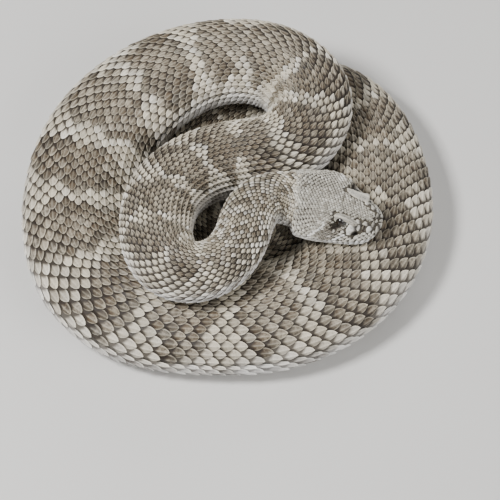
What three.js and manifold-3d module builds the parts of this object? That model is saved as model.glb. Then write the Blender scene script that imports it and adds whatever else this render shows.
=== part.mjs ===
// Western diamondback rattlesnake, coiled at rest, as a life-size museum model.
// Units are millimetres, +Z is up and the floor is z = 0. One line runs from the snout
// through every coil to the rattle, and every length of the body is lofted along it.
import * as THREE from 'three';
import { mergeVertices } from 'three/addons/utils/BufferGeometryUtils.js';
import Module from 'manifold-3d';

const wasm = await Module();
wasm.setup();

// Gap kept between two lengths that meet, and how far the resting belly is pressed flat.
const GAP = 0.3;
const BELLY_PRESS = 1.2;

// The middle of the coil's outline, which becomes the origin.
const COIL_CENTRE = new THREE.Vector2(0.04, 0.13);

// Body sections: sides round the body, spacing along it, and how square the back and belly are.
const SIDES = 26;
const STEP = 6;
const BACK_ROUNDNESS = 2.0;
const BELLY_ROUNDNESS = 2.6;

// The line from the snout to the tail: [x, y, z] where the body lies on other lengths.
const ROUTE_ABOVE = [
  // head and neck
  [73.9, -29.0, 49.8], [61.1, -23.1, 49.8], [46.2, -17.0, 49.8], [37.6, -15.1, 49.9],
  [29.7, -14.4, 50.8], [21.9, -15.7, 53.7], [14.9, -21.0, 57.0], [10.2, -29.5, 58.6],
  [7.3, -39.5, 58.4], [2.0, -49.4, 57.2],
  // small loop that lies on the ring
  [-6.4, -56.2, 56.4], [-16.8, -58.3, 55.9], [-26.2, -54.6, 55.5], [-32.2, -45.6, 54.8],
  [-34.0, -32.5, 53.2], [-30.7, -13.5, 50.2], [-16.5, 4.6, 45.6],
  // pass to the right and the turn back over the ring
  [3.0, 13.9, 42.5], [21.5, 16.4, 43.6], [31.5, 21.1, 44.0], [38.2, 29.3, 44.4],
  [41.6, 39.6, 44.7], [40.1, 50.1, 45.0], [34.0, 59.0, 45.3], [24.5, 65.3, 46.2],
  // pass to the left, down to the floor
  [10.0, 69.2, 45.8], [-17.0, 67.4, 42.5], [-43.0, 54.7, 37.0], [-62.5, 35.6, 29.0],
  [-71.8, 9.4, 22.8],
];

// The same line where the belly lies on the floor: [x, y], the height follows from the girth.
const ROUTE_FLOOR = [
  // outer ring
  [-71.5, -18.5], [-60.5, -43.5], [-37.5, -58.5], [-9.5, -62.8], [18.0, -62.2],
  [44.5, -52.0], [63.5, -33.6], [73.0, -10.0], [74.2, 17.0], [70.5, 44.0], [55.5, 65.5],
  [33.0, 72.0], [9.0, 67.5],
  // inner coil and tail
  [-9.0, 54.5], [-19.5, 36.5], [-20.0, 15.0], [-14.0, -5.0], [-2.5, -19.5], [13.0, -24.0],
  [28.0, -15.0], [34.0, 2.5], [31.5, 20.0], [20.0, 30.5], [6.5, 28.5], [2.5, 17.5],
  // rattle
  [5.0, 6.0], [11.5, -5.5], [17.0, -12.5],
];

// Girth along the line, measured in plan from the snout: [distance, half width, half height].
const GIRTH = [
  [0, 13.6, 9.2], [47, 13.6, 9.2], [58, 12.2, 9.8], [70, 12.6, 10.6], [84, 12.8, 11.3],
  [102, 13.0, 12.0], [118, 14.2, 12.8], [134, 16.0, 13.8], [165, 17.8, 15.0], [210, 18.3, 15.5],
  [245, 18.5, 16.2], [262, 19.2, 16.8], [280, 20.6, 17.2], [300, 20.9, 17.5],
  [330, 21.5, 18.2], [360, 24.4, 18.9],
  [388, 27.0, 19.7], [420, 28.3, 20.4], [500, 28.6, 20.5], [550, 27.4, 20.4],
  [600, 27.0, 20.1], [640, 27.3, 19.4], [665, 26.8, 18.6], [692, 22.6, 17.2],
  [718, 19.0, 15.8], [745, 17.2, 14.9], [790, 15.0, 13.5], [830, 13.4, 12.3],
  [870, 12.0, 11.3], [910, 10.6, 10.3], [945, 8.9, 8.9], [975, 7.2, 7.5], [990, 6.2, 6.7],
  [1030, 5.0, 6.0],
];

// Names of the lengths and where each one ends, in plan distance from the snout.
const HEAD_LENGTH = 47;
const BODY_CUTS = [
  92, 119, 150, 195, 237, 262, 292, 345, 398, 452, 508, 572, 636, 694, 742, 792, 840, 880, 912,
];
const TAIL_CUTS = [912, 940, 964, 986];

// Head, measured back from the snout tip: [distance, half width at the lips].
const HEAD_PLAN = [
  [0, 0], [1, 4.9], [4, 8.7], [9, 11.7], [14, 13.8], [20, 15.7], [26, 17.3], [32, 18.2],
  [37, 18.4], [41, 18.0], [44, 16.8], [47, 15.0],
];
// Heights from the head's middle line: crown, mouth line and chin, and half width of the crown.
const HEAD_SIDE = [
  { back: 0, crown: 1.0, mouth: -4.0, chin: -6.6, crownHalf: 0 },
  { back: 3, crown: 3.2, mouth: -4.9, chin: -9.0, crownHalf: 4.2 },
  { back: 9, crown: 4.9, mouth: -5.9, chin: -10.3, crownHalf: 6.4 },
  { back: 16, crown: 6.4, mouth: -6.3, chin: -10.7, crownHalf: 8.8 },
  { back: 24, crown: 7.3, mouth: -6.1, chin: -10.8, crownHalf: 10.2 },
  { back: 33, crown: 8.0, mouth: -5.0, chin: -10.7, crownHalf: 10.8 },
  { back: 41, crown: 8.7, mouth: -3.6, chin: -10.2, crownHalf: 9.8 },
  { back: 47, crown: 9.2, mouth: -2.6, chin: -9.4, crownHalf: 8.2 },
];
// Half of the head's section, above the mouth line: shares of the crown's half width, of the
// flare out to the lips and of the way down, then the lift and how far the snout's end is set back.
const HEAD_UPPER = [
  { crown: 0, flare: 0, down: 0, lift: 0.1, setback: 1.6 },
  { crown: 0.45, flare: 0, down: 0, lift: 0, setback: 1.6 },
  { crown: 0.82, flare: 0, down: 0, lift: -0.1, setback: 1.5 },
  { crown: 1, flare: 0, down: 0, lift: -0.8, setback: 1.1 },
  { crown: 1, flare: 0.22, down: 0.24, lift: 0, setback: 0.6 },
  { crown: 1, flare: 0.46, down: 0.42, lift: 0, setback: 0.2 },
  { crown: 1, flare: 0.72, down: 0.6, lift: 0, setback: 0 },
  { crown: 1, flare: 0.93, down: 0.78, lift: 0, setback: 0 },
  { crown: 1, flare: 1, down: 0.9, lift: 0, setback: 0 },
  { crown: 1, flare: 0.98, down: 0.96, lift: 0, setback: 0.2 },
];
// The same below the mouth line: shares of the lips' half width and of the way to the chin.
const HEAD_LOWER = [
  { lips: 0.98, down: 0.1, setback: 0.9 },
  { lips: 0.97, down: 0.27, setback: 1.1 },
  { lips: 0.88, down: 0.62, setback: 1.9 },
  { lips: 0.66, down: 0.92, setback: 2.9 },
  { lips: 0.34, down: 0.99, setback: 3.6 },
  { lips: 0, down: 1, setback: 3.9 },
];
const MOUTH_SETBACK = 0.9;
const HEAD_RINGS = 26;
const HEAD_RING_GROWTH = 1.5;
const MOUTH_DEPTH = 0.8;
const MOUTH_FADE = [34, 40];
const NECK_BLEND = [42, 47];
// Over the poison glands the cheeks are fuller: where that starts and ends, and how much.
const CHEEK = { from: [14, 22], to: [27, 42], fullness: 0.68 };
const SNOUT_SLOPE = 8;

// Eyes, brow plates, nostrils and heat pits: places as [back, side, up] from the snout tip.
const EYE = { back: 17.3, side: 8.3, up: 4.3, radius: 2.7 };
const BROW = { back: 16.5, side: 7.9, up: 7.3, length: 12.4, width: 5.8, thickness: 2.4, turn: 0.15 };
const NOSTRIL = { back: 6.4, side: 6.6, up: 2.7, size: [1.3, 2.6, 2.0] };
const HEAT_PIT = { back: 9.2, side: 9.9, up: -1.1, size: [2.0, 2.8, 1.8] };

// Rattle: a row of loose horny segments, taller than wide, with a groove along each side.
// Sizes are shares of the tail's end: the swelling, the waist between two segments, the last
// segment and the closed tip. The outline says where along a segment its rings stand.
const RATTLE = {
  segments: 7,
  pitch: 3.9,
  outline: [0.0, 0.18, 0.45, 0.72, 0.9],
  lobe: 1.13,
  waist: 0.74,
  last: 0.72,
  tip: 0.29,
  flatness: 0.82,
  fullness: 0.7,
  groove: 0.16,
  grooveSharpness: 6,
  sides: 16,
};

const COLOURS = {
  body: 0x8d8478, neck: 0x837c72, head: 0x8f897d, eye: 0x2a2419, tail: 0xb9b4a8, rattle: 0xa9946c,
};

// Natural cubic spline through rows of numbers at the knots t.
function spline(t, rows) {
  const n = t.length;
  const h = Array.from({ length: n - 1 }, (_, i) => t[i + 1] - t[i]);
  const bends = rows[0].map((_, k) => {
    const upper = new Array(n).fill(0);
    const value = new Array(n).fill(0);
    for (let i = 1; i < n - 1; i++) {
      const rise = (rows[i + 1][k] - rows[i][k]) / h[i] - (rows[i][k] - rows[i - 1][k]) / h[i - 1];
      const pivot = 2 * (h[i - 1] + h[i]) - h[i - 1] * upper[i - 1];
      upper[i] = h[i] / pivot;
      value[i] = (6 * rise - h[i - 1] * value[i - 1]) / pivot;
    }
    const bend = new Array(n).fill(0);
    for (let i = n - 2; i > 0; i--) bend[i] = value[i] - upper[i] * bend[i + 1];
    return bend;
  });
  return (x) => {
    let i = 0;
    while (i < n - 2 && x > t[i + 1]) i++;
    const a = t[i + 1] - x;
    const b = x - t[i];
    return rows[0].map((_, k) => (bends[k][i] * a ** 3 + bends[k][i + 1] * b ** 3) / (6 * h[i])
      + (rows[i][k] / h[i] - (bends[k][i] * h[i]) / 6) * a
      + (rows[i + 1][k] / h[i] - (bends[k][i + 1] * h[i]) / 6) * b);
  };
}

const smooth = (x, [from, to]) => THREE.MathUtils.smoothstep(x, from, to);

// How far each row of a route lies from the first one, in plan.
function planDistance(rows) {
  const list = [0];
  for (let i = 1; i < rows.length; i++) {
    const [dx, dy] = [0, 1].map((k) => rows[i][k] - rows[i - 1][k]);
    list.push(list[i - 1] + Math.hypot(dx, dy));
  }
  return list;
}

const girth = spline(GIRTH.map((row) => row[0]), GIRTH.map((row) => row.slice(1)));

// The line itself, as a function of the plan distance from the snout.
function bodyLine() {
  const plan = [...ROUTE_ABOVE, ...ROUTE_FLOOR];
  const at = planDistance(plan);
  const rows = plan.map((row, i) => [
    row[0] - COIL_CENTRE.x,
    row[1] - COIL_CENTRE.y,
    row.length === 3 ? row[2] : girth(at[i])[1] - BELLY_PRESS,
  ]);
  const through = spline(at, rows);
  return {
    length: at[at.length - 1],
    point: (d) => new THREE.Vector3(...through(d)),
  };
}

const line = bodyLine();

// Square frame on the line at plan distance d: along, to the right-hand side and up.
function frameAt(d) {
  const small = 0.5;
  const before = line.point(Math.max(d - small, 0));
  const after = line.point(Math.min(d + small, line.length));
  const along = after.sub(before).normalize();
  const side = new THREE.Vector3().crossVectors(along, new THREE.Vector3(0, 0, 1)).normalize();
  const up = new THREE.Vector3().crossVectors(side, along);
  return { centre: line.point(d), along, side, up };
}

// Point of the round body section at turn j of n, from the middle of the back.
function sectionPoint(j, n, halfWidth, halfHeight) {
  const angle = (2 * Math.PI * j) / n;
  const s = Math.sin(angle);
  const c = Math.cos(angle);
  const power = 2 / (c >= 0 ? BACK_ROUNDNESS : BELLY_ROUNDNESS);
  return [
    Math.sign(s) * Math.abs(s) ** power * halfWidth,
    Math.sign(c) * Math.abs(c) ** power * halfHeight,
  ];
}

const place = (frame, side, up, forward = 0) => frame.centre.clone()
  .addScaledVector(frame.side, side)
  .addScaledVector(frame.up, up)
  .addScaledVector(frame.along, forward);

const onFloor = (point) => point.setZ(Math.max(point.z, 0));

// Closed skin over a row of rings, each a loop of points in the same order.
function loft(rings) {
  const n = rings[0].length;
  const points = rings.flat();
  const faces = [];
  for (let i = 0; i < rings.length - 1; i++) {
    for (let j = 0; j < n; j++) {
      const k = (j + 1) % n;
      const [here, next] = [i * n + j, i * n + k];
      faces.push([here, next + n, here + n], [here, next, next + n]);
    }
  }
  const cap = (start, reverse) => {
    const middle = new THREE.Vector3();
    for (let j = 0; j < n; j++) middle.addScaledVector(points[start + j], 1 / n);
    points.push(middle);
    for (let j = 0; j < n; j++) {
      const edge = [start + j, start + ((j + 1) % n)];
      faces.push([points.length - 1, ...(reverse ? edge.reverse() : edge)]);
    }
  };
  cap(0, true);
  cap((rings.length - 1) * n, false);
  return toGeometry(points, faces);
}

// Geometry from points and faces: points that coincide are joined and empty faces dropped.
function toGeometry(points, faces) {
  const raw = new THREE.BufferGeometry();
  const numbers = points.flatMap((point) => point.toArray());
  raw.setAttribute('position', new THREE.Float32BufferAttribute(numbers, 3));
  raw.setIndex(faces.flat());
  const merged = mergeVertices(raw, 1e-3);
  const index = [];
  for (let i = 0; i < merged.index.count; i += 3) {
    const [a, b, c] = [0, 1, 2].map((k) => merged.index.getX(i + k));
    if (a !== b && b !== c && c !== a) index.push(a, b, c);
  }
  merged.setIndex(index);
  merged.computeVertexNormals();
  return merged;
}

const toSolid = (geometry) => new wasm.Manifold(new wasm.Mesh({
  numProp: 3,
  vertProperties: new Float32Array(geometry.attributes.position.array),
  triVerts: new Uint32Array(geometry.index.array),
}));

// Largest closed surface of a solid, as geometry.
function fromSolid(solid) {
  const size = (piece) => piece.volume();
  const largest = solid.decompose().sort((a, b) => size(b) - size(a))[0];
  const mesh = largest.getMesh();
  const geometry = new THREE.BufferGeometry();
  geometry.setAttribute('position', new THREE.Float32BufferAttribute(mesh.vertProperties, 3));
  geometry.setIndex([...mesh.triVerts]);
  geometry.computeVertexNormals();
  return geometry;
}

// One length of the body between two plan distances, its ends square to the line.
function bodyLength(from, to) {
  const steps = Math.max(2, Math.round((to - from) / STEP));
  const rings = [];
  for (let i = 0; i <= steps; i++) {
    const d = from + ((to - from) * i) / steps;
    const frame = frameAt(d);
    const inset = i === 0 ? GAP / 2 : i === steps ? -GAP / 2 : 0;
    const [halfWidth, halfHeight] = girth(d);
    rings.push(Array.from({ length: SIDES }, (_, j) => {
      const [side, up] = sectionPoint(j, SIDES, halfWidth, halfHeight);
      return onFloor(place(frame, side, up, inset));
    }));
  }
  return loft(rings);
}

// Half of the head's section from the crown to the chin: [side, up, setback at the snout].
function headHalfSection(back) {
  const [lips] = headPlan(back);
  const [crown, mouth, chin, crownHalf] = headSide(back);
  const depth = MOUTH_DEPTH * (1 - smooth(back, MOUTH_FADE));
  const full = CHEEK.fullness * smooth(back, CHEEK.from) * (1 - smooth(back, CHEEK.to));
  const flared = (flare) => (flare > 0 ? THREE.MathUtils.lerp(flare, 1, full) : 0);
  return [
    ...HEAD_UPPER.map((row) => [
      crownHalf * row.crown + (lips - crownHalf) * flared(row.flare),
      crown + row.down * (mouth - crown) + row.lift,
      row.setback,
    ]),
    [lips - depth, mouth, MOUTH_SETBACK],
    ...HEAD_LOWER.map((row) => [lips * row.lips, mouth + row.down * (chin - mouth), row.setback]),
  ];
}

const headPlanSpline = spline(
  HEAD_PLAN.map((row) => Math.sqrt(row[0])),
  HEAD_PLAN.map((row) => row.slice(1)),
);
const headPlan = (back) => headPlanSpline(Math.sqrt(back));
const headSide = spline(
  HEAD_SIDE.map((row) => row.back),
  HEAD_SIDE.map((row) => [row.crown, row.mouth, row.chin, row.crownHalf]),
);

// The head's skin: its first section closes to the middle line of the snout.
function headSkin() {
  const end = HEAD_LENGTH;
  const rings = [];
  for (let i = 0; i <= HEAD_RINGS; i++) {
    const back = end * (i / HEAD_RINGS) ** HEAD_RING_GROWTH;
    const frame = frameAt(back);
    const half = headHalfSection(back);
    const around = 2 * (half.length - 1);
    const round = smooth(back, NECK_BLEND);
    const [neckWidth, neckHeight] = girth(back);
    const drop = Math.max(0, 1 - back / SNOUT_SLOPE) ** 2;
    rings.push(Array.from({ length: around }, (_, j) => {
      const mirrored = j >= half.length;
      const [side, up, setback] = half[mirrored ? around - j : j];
      const [roundSide, roundUp] = sectionPoint(j, around, neckWidth, neckHeight);
      const width = (mirrored ? -side : side) * (back === 0 ? 0 : 1);
      const inset = i === HEAD_RINGS ? -GAP / 2 : setback * drop;
      return place(
        frame,
        THREE.MathUtils.lerp(width, roundSide, round),
        THREE.MathUtils.lerp(up, roundUp, round),
        inset,
      );
    }));
  }
  return loft(rings);
}

// A sphere stretched to size at a place on the head, given as back, side and up.
function headBlob({ back, side, up }, size, turn = 0) {
  const frame = frameAt(back);
  const blob = new THREE.SphereGeometry(1, 16, 12);
  blob.deleteAttribute('normal');
  blob.deleteAttribute('uv');
  const closed = mergeVertices(blob, 1e-4);
  const basis = new THREE.Matrix4().makeBasis(frame.along, frame.side.clone().negate(), frame.up);
  closed.scale(...size);
  closed.rotateX(Math.sign(side) * turn);
  closed.applyMatrix4(basis.setPosition(place(frame, side, up)));
  return closed;
}

const bothSides = [-1, 1];
const onSide = (spot, sign) => ({ ...spot, side: spot.side * sign });

// The head with its brow plates on, and the eye sockets, nostrils and heat pits sunk in.
function headSolid() {
  let solid = toSolid(headSkin());
  for (const sign of bothSides) {
    const size = [BROW.length / 2, BROW.width / 2, BROW.thickness / 2];
    solid = solid.add(toSolid(headBlob(onSide(BROW, sign), size, BROW.turn)));
  }
  for (const sign of bothSides) {
    const socket = EYE.radius + GAP;
    solid = solid.subtract(toSolid(headBlob(onSide(EYE, sign), [socket, socket, socket])));
    for (const hole of [NOSTRIL, HEAT_PIT]) {
      solid = solid.subtract(toSolid(headBlob(onSide(hole, sign), hole.size.map((d) => d / 2))));
    }
  }
  return fromSolid(solid);
}

const eyeBall = (sign) => headBlob(onSide(EYE, sign), [EYE.radius, EYE.radius, EYE.radius]);

// The rattle: each segment swells and closes in again before the next one.
function rattleSolid() {
  const start = TAIL_CUTS.at(-1);
  const swelling = RATTLE.lobe - RATTLE.waist;
  const rings = [];
  for (let segment = 0; segment < RATTLE.segments; segment++) {
    const taper = THREE.MathUtils.lerp(1, RATTLE.last, segment / (RATTLE.segments - 1));
    for (const part of RATTLE.outline) {
      const swell = RATTLE.waist + swelling * Math.sin(Math.PI * part) ** RATTLE.fullness;
      rings.push(rattleRing(start + (segment + part) * RATTLE.pitch, taper * swell));
    }
  }
  rings.push(rattleRing(start + RATTLE.segments * RATTLE.pitch, RATTLE.tip));
  return loft(rings);
}

// One ring of the rattle at plan distance d, as a share of the tail's end, set on the floor.
function rattleRing(d, share) {
  const frame = frameAt(d);
  const [tailWidth, tailHeight] = girth(TAIL_CUTS.at(-1));
  const halfHeight = tailHeight * share;
  const lift = halfHeight - frame.centre.z;
  return Array.from({ length: RATTLE.sides }, (_, j) => {
    const angle = (2 * Math.PI * j) / RATTLE.sides;
    const groove = 1 - RATTLE.groove * Math.abs(Math.sin(angle)) ** RATTLE.grooveSharpness;
    const side = Math.sin(angle) * tailWidth * RATTLE.flatness * share * groove;
    const point = place(frame, side, Math.cos(angle) * halfHeight, GAP / 2);
    return onFloor(point.setZ(point.z + lift));
  });
}

const group = new THREE.Group();

function addMesh(name, geometry, colour, roughness) {
  const material = new THREE.MeshStandardMaterial({ color: colour, roughness, metalness: 0 });
  const mesh = new THREE.Mesh(geometry, material);
  mesh.name = name;
  group.add(mesh);
}

// A run of lengths between the cuts, numbered from the head backwards.
function addLengths(name, cuts, colour) {
  for (let i = 0; i < cuts.length - 1; i++) {
    const number = String(i + 1).padStart(2, '0');
    addMesh(`${name}_${number}`, bodyLength(cuts[i], cuts[i + 1]), colour, 0.7);
  }
}

addMesh('head', headSolid(), COLOURS.head, 0.75);
addMesh('eye_left', eyeBall(1), COLOURS.eye, 0.15);
addMesh('eye_right', eyeBall(-1), COLOURS.eye, 0.15);
addMesh('neck', bodyLength(HEAD_LENGTH, BODY_CUTS[0]), COLOURS.neck, 0.7);
addLengths('body', BODY_CUTS, COLOURS.body);
addLengths('tail', TAIL_CUTS, COLOURS.tail);
addMesh('rattle', rattleSolid(), COLOURS.rattle, 0.5);

export default group;
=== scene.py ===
"""Coiled western diamondback rattlesnake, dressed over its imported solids.

One skin follows the line of the body from the snout to the rattle. Keeled scales, belly
plates and the plates of the head are laid on it as joined meshes, tip over root, and every
piece carries the same markings.
"""
import math
from contextlib import contextmanager

import bpy
import numpy as np
from bpy.props import FloatProperty, FloatVectorProperty, IntProperty, PointerProperty
from mathutils import Matrix, Vector


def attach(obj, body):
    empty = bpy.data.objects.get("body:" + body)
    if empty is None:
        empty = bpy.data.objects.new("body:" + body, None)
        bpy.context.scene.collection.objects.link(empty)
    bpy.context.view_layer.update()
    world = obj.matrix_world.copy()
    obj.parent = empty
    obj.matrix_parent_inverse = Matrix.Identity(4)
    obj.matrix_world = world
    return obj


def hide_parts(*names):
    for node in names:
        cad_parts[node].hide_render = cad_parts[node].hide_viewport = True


bl_info = {
    "name": "Coiled Rattlesnake",
    "version": (1, 0, 0),
    "blender": (4, 5, 0),
    "location": "3D View > Sidebar > Rattlesnake",
    "description": "Dresses a coiled rattlesnake in skin, scales, eyes and rattle",
    "category": "Add Mesh",
}

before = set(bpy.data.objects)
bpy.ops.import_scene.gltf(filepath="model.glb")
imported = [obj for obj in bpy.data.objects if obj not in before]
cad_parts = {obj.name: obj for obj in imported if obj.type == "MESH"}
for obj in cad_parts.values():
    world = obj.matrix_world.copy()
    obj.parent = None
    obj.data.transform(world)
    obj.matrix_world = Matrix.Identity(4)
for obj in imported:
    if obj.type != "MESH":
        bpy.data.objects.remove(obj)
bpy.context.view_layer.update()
BODY = "root"

FLESH = [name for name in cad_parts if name.startswith(("head", "neck", "body", "tail"))]

# The line from the snout to the tail, in metres: (x, y, z) where it lies on other lengths.
ROUTE_ABOVE = (
    (0.0739, -0.029, 0.0498), (0.0611, -0.0231, 0.0498), (0.0462, -0.017, 0.0498),
    (0.0376, -0.0151, 0.0499), (0.0297, -0.0144, 0.0508), (0.0219, -0.0157, 0.0537),
    (0.0149, -0.021, 0.057), (0.0102, -0.0295, 0.0586), (0.0073, -0.0395, 0.0584),
    (0.002, -0.0494, 0.0572), (-0.0064, -0.0562, 0.0564), (-0.0168, -0.0583, 0.0559),
    (-0.0262, -0.0546, 0.0555), (-0.0322, -0.0456, 0.0548), (-0.034, -0.0325, 0.0532),
    (-0.0307, -0.0135, 0.0502), (-0.0165, 0.0046, 0.0456), (0.003, 0.0139, 0.0425),
    (0.0215, 0.0164, 0.0436), (0.0315, 0.0211, 0.044), (0.0382, 0.0293, 0.0444),
    (0.0416, 0.0396, 0.0447), (0.0401, 0.0501, 0.045), (0.034, 0.059, 0.0453),
    (0.0245, 0.0653, 0.0462), (0.01, 0.0692, 0.0458), (-0.017, 0.0674, 0.0425),
    (-0.043, 0.0547, 0.037), (-0.0625, 0.0356, 0.029), (-0.0718, 0.0094, 0.0228),
)
# The same line where the belly lies on the floor: (x, y), the height follows from the girth.
ROUTE_FLOOR = (
    (-0.0715, -0.0185), (-0.0605, -0.0435), (-0.0375, -0.0585), (-0.0095, -0.0628),
    (0.018, -0.0622), (0.0445, -0.052), (0.0635, -0.0336), (0.073, -0.01), (0.0742, 0.017),
    (0.0705, 0.044), (0.0555, 0.0655), (0.033, 0.072), (0.009, 0.0675), (-0.009, 0.0545),
    (-0.0195, 0.0365), (-0.02, 0.015), (-0.014, -0.005), (-0.0025, -0.0195), (0.013, -0.024),
    (0.028, -0.015), (0.034, 0.0025), (0.0315, 0.02), (0.02, 0.0305), (0.0065, 0.0285),
    (0.0025, 0.0175), (0.005, 0.006), (0.0115, -0.0055), (0.017, -0.0125),
)
# Girth by plan distance from the snout: (distance, half width, half height).
GIRTH = (
    (0.0, 0.0136, 0.0092), (0.047, 0.0136, 0.0092), (0.058, 0.0122, 0.0098),
    (0.07, 0.0126, 0.0106), (0.084, 0.0128, 0.0113), (0.102, 0.013, 0.012),
    (0.118, 0.0142, 0.0128), (0.134, 0.016, 0.0138), (0.165, 0.0178, 0.015),
    (0.21, 0.0183, 0.0155), (0.245, 0.0185, 0.0162), (0.262, 0.0192, 0.0168),
    (0.28, 0.0206, 0.0172), (0.3, 0.0209, 0.0175), (0.33, 0.0215, 0.0182), (0.36, 0.0244, 0.0189),
    (0.388, 0.027, 0.0197), (0.42, 0.0283, 0.0204), (0.5, 0.0286, 0.0205), (0.55, 0.0274, 0.0204),
    (0.6, 0.027, 0.0201), (0.64, 0.0273, 0.0194), (0.665, 0.0268, 0.0186),
    (0.692, 0.0226, 0.0172), (0.718, 0.019, 0.0158), (0.745, 0.0172, 0.0149),
    (0.79, 0.015, 0.0135), (0.83, 0.0134, 0.0123), (0.87, 0.012, 0.0113), (0.91, 0.0106, 0.0103),
    (0.945, 0.0089, 0.0089), (0.975, 0.0072, 0.0075), (0.99, 0.0062, 0.0067),
    (1.03, 0.005, 0.006),
)
# Middle of the coil's box, how far the belly is pressed flat, and how square the sections are.
COIL_CENTRE = (0.00004, 0.00013)
BELLY_PRESS = 0.0012
BACK_ROUNDNESS = 2.0
BELLY_ROUNDNESS = 2.6

# Plan distances where the head, the body and the tail end.
HEAD_LENGTH = 0.047
VENT = 0.912
TAIL_END = 0.986

# Half width of the head at the lips by distance behind the snout tip.
HEAD_PLAN = (
    (0.0, 0.0), (0.001, 0.0049), (0.004, 0.0087), (0.009, 0.0117), (0.014, 0.0138), (0.02, 0.0157),
    (0.026, 0.0173), (0.032, 0.0182), (0.037, 0.0184), (0.041, 0.018), (0.044, 0.0168),
    (0.047, 0.015),
)
# Head from the side: (distance, crown, mouth line, chin, half width of the crown).
HEAD_SIDE = (
    (0.0, 0.001, -0.004, -0.0066, 0.0), (0.003, 0.0032, -0.0049, -0.009, 0.0042),
    (0.009, 0.0049, -0.0059, -0.0103, 0.0064), (0.016, 0.0064, -0.0063, -0.0107, 0.0088),
    (0.024, 0.0073, -0.0061, -0.0108, 0.0102), (0.033, 0.008, -0.005, -0.0107, 0.0108),
    (0.041, 0.0087, -0.0036, -0.0102, 0.0098), (0.047, 0.0092, -0.0026, -0.0094, 0.0082),
)
# Half of the head's section above the mouth line: shares of the crown's half width, of the
# flare out to the lips and of the way down, then the lift and the setback at the snout's end.
HEAD_UPPER = (
    (0, 0, 0, 0.0001, 0.0016), (0.45, 0, 0, 0, 0.0016), (0.82, 0, 0, -0.0001, 0.0015),
    (1, 0, 0, -0.0008, 0.0011), (1, 0.22, 0.24, 0, 0.0006), (1, 0.46, 0.42, 0, 0.0002),
    (1, 0.72, 0.6, 0, 0), (1, 0.93, 0.78, 0, 0), (1, 1, 0.9, 0, 0), (1, 0.98, 0.96, 0, 0.0002),
)
# The same below the mouth line: shares of the lips' half width and of the way to the chin.
HEAD_LOWER = (
    (0.98, 0.1, 0.0009), (0.97, 0.27, 0.0011), (0.88, 0.62, 0.0019), (0.66, 0.92, 0.0029),
    (0.34, 0.99, 0.0036), (0, 1, 0.0039),
)
# The line of the mouth: setback at the snout's end, depth, and where it fades away.
MOUTH_SETBACK = 0.0009
MOUTH_DEPTH = 0.0008
MOUTH_FADE = (0.034, 0.040)
# Where the head's section turns into the body's.
NECK_BLEND = (0.042, 0.047)
# Over the poison glands the cheeks are fuller: where that starts and ends, and how much.
CHEEK_FROM, CHEEK_TO, CHEEK_FULLNESS = (0.014, 0.022), (0.027, 0.042), 0.68
# Length over which the setbacks of the snout's end fade away.
SNOUT_SLOPE = 0.008

# Places on the head as (distance behind the snout tip, out to the side, up).
EYE = (0.0173, 0.0083, 0.0043)
EYE_RADIUS = 0.0027
SOCKET = (0.0175, 0.0106, 0.0040)
# Inner edge, crest and outer edge of the brow plates, each from front to back.
BROW_LINES = (
    ((0.0090, 0.0059, 0.0044), (0.0125, 0.0055, 0.0054), (0.0160, 0.0054, 0.0062),
     (0.0187, 0.0058, 0.0066), (0.0212, 0.0068, 0.0067)),
    ((0.0097, 0.0083, 0.0065), (0.0127, 0.0081, 0.0072), (0.0159, 0.0079, 0.0074),
     (0.0187, 0.0081, 0.0073), (0.0214, 0.0084, 0.0067)),
    ((0.0100, 0.0096, 0.0074), (0.0128, 0.0091, 0.0070), (0.0158, 0.0090, 0.0061),
     (0.0186, 0.0098, 0.0049), (0.0212, 0.0098, 0.0041)),
)
# Thickness of the brow plates in front and behind.
BROW_THICKNESS = (0.0018, 0.0006)
NOSTRIL = (0.0064, 0.0066, 0.0027)
HEAT_PIT = (0.0092, 0.0099, -0.0011)

# Longitudinal pitch of the back's scales by plan distance.
SCALE_PITCH = (
    (0.040, 0.0020), (0.047, 0.0022), (0.10, 0.0028), (0.165, 0.0033), (0.25, 0.0040),
    (0.33, 0.0047), (0.42, 0.0057), (0.50, 0.0060), (0.64, 0.0060), (0.70, 0.0055),
    (0.75, 0.0050), (0.82, 0.0046), (0.90, 0.0040), (0.95, 0.0034), (0.986, 0.0028),
)
# Columns of scales on each side of the middle one, and the share of the half girth, from the
# middle of the back, that they cover: on the body and on the tail.
BACK_ROWS = ((14, 0.80), (8, 0.86))
# How much broader the lowest ones are, on the neck and on the body, and where that changes.
LOW_ROW_GROWTH = (0.45, 1.1)
ROWS_GROW = (0.20, 0.36)
# The last row of scales lies closer than this to the tail's end.
LAST_ROW_GAP = 0.002
# How much a scale's place and size vary, as shares of the pitch and of the size.
PLACE_JITTER, SIZE_JITTER = 0.06, 0.06
# Width of a scale as a share of its column's, on the body and on the neck, where scales are
# slimmer, longer and stand higher, and where the slim ones end.
SCALE_WIDTH = (1.28, 0.98)
SLIM_LENGTH, SLIM_LIFT = 0.10, 0.04
SLIM_SCALES_END = (0.22, 0.36)
# Height of the keels, as a share of the lift, and where they fade towards the belly.
KEEL_HEIGHT = 0.34
KEEL_FADE = (0.50, 0.72)
# Where the dark and pale scales scattered over the neck become few.
ODD_SCALES_END = (0.09, 0.14)
# Plates of the belly: their turn, how far they reach under the back's scales as a share of
# the half girth, and length and lift for their pitch.
BELLY_TURN = 0.5
PLATE_TUCK = 0.025
BELLY_OVERLAP, BELLY_LIFT = 1.25, 0.12
# Depth of the skin below the outer form, as a share of the scales' pitch there.
COAT_DEPTH = 0.15

# Least plan distance, and the steps by which slopes of the surface and the line are taken.
SNOUT_TIP = 1e-5
D_STEP = 0.0003
TURN_STEP = 0.0015
FRAME_STEP = 0.0005
# Turns from the middle of the back to the middle of the belly, close together.
HALF_TURN = np.linspace(0, 0.5, 361)


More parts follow.
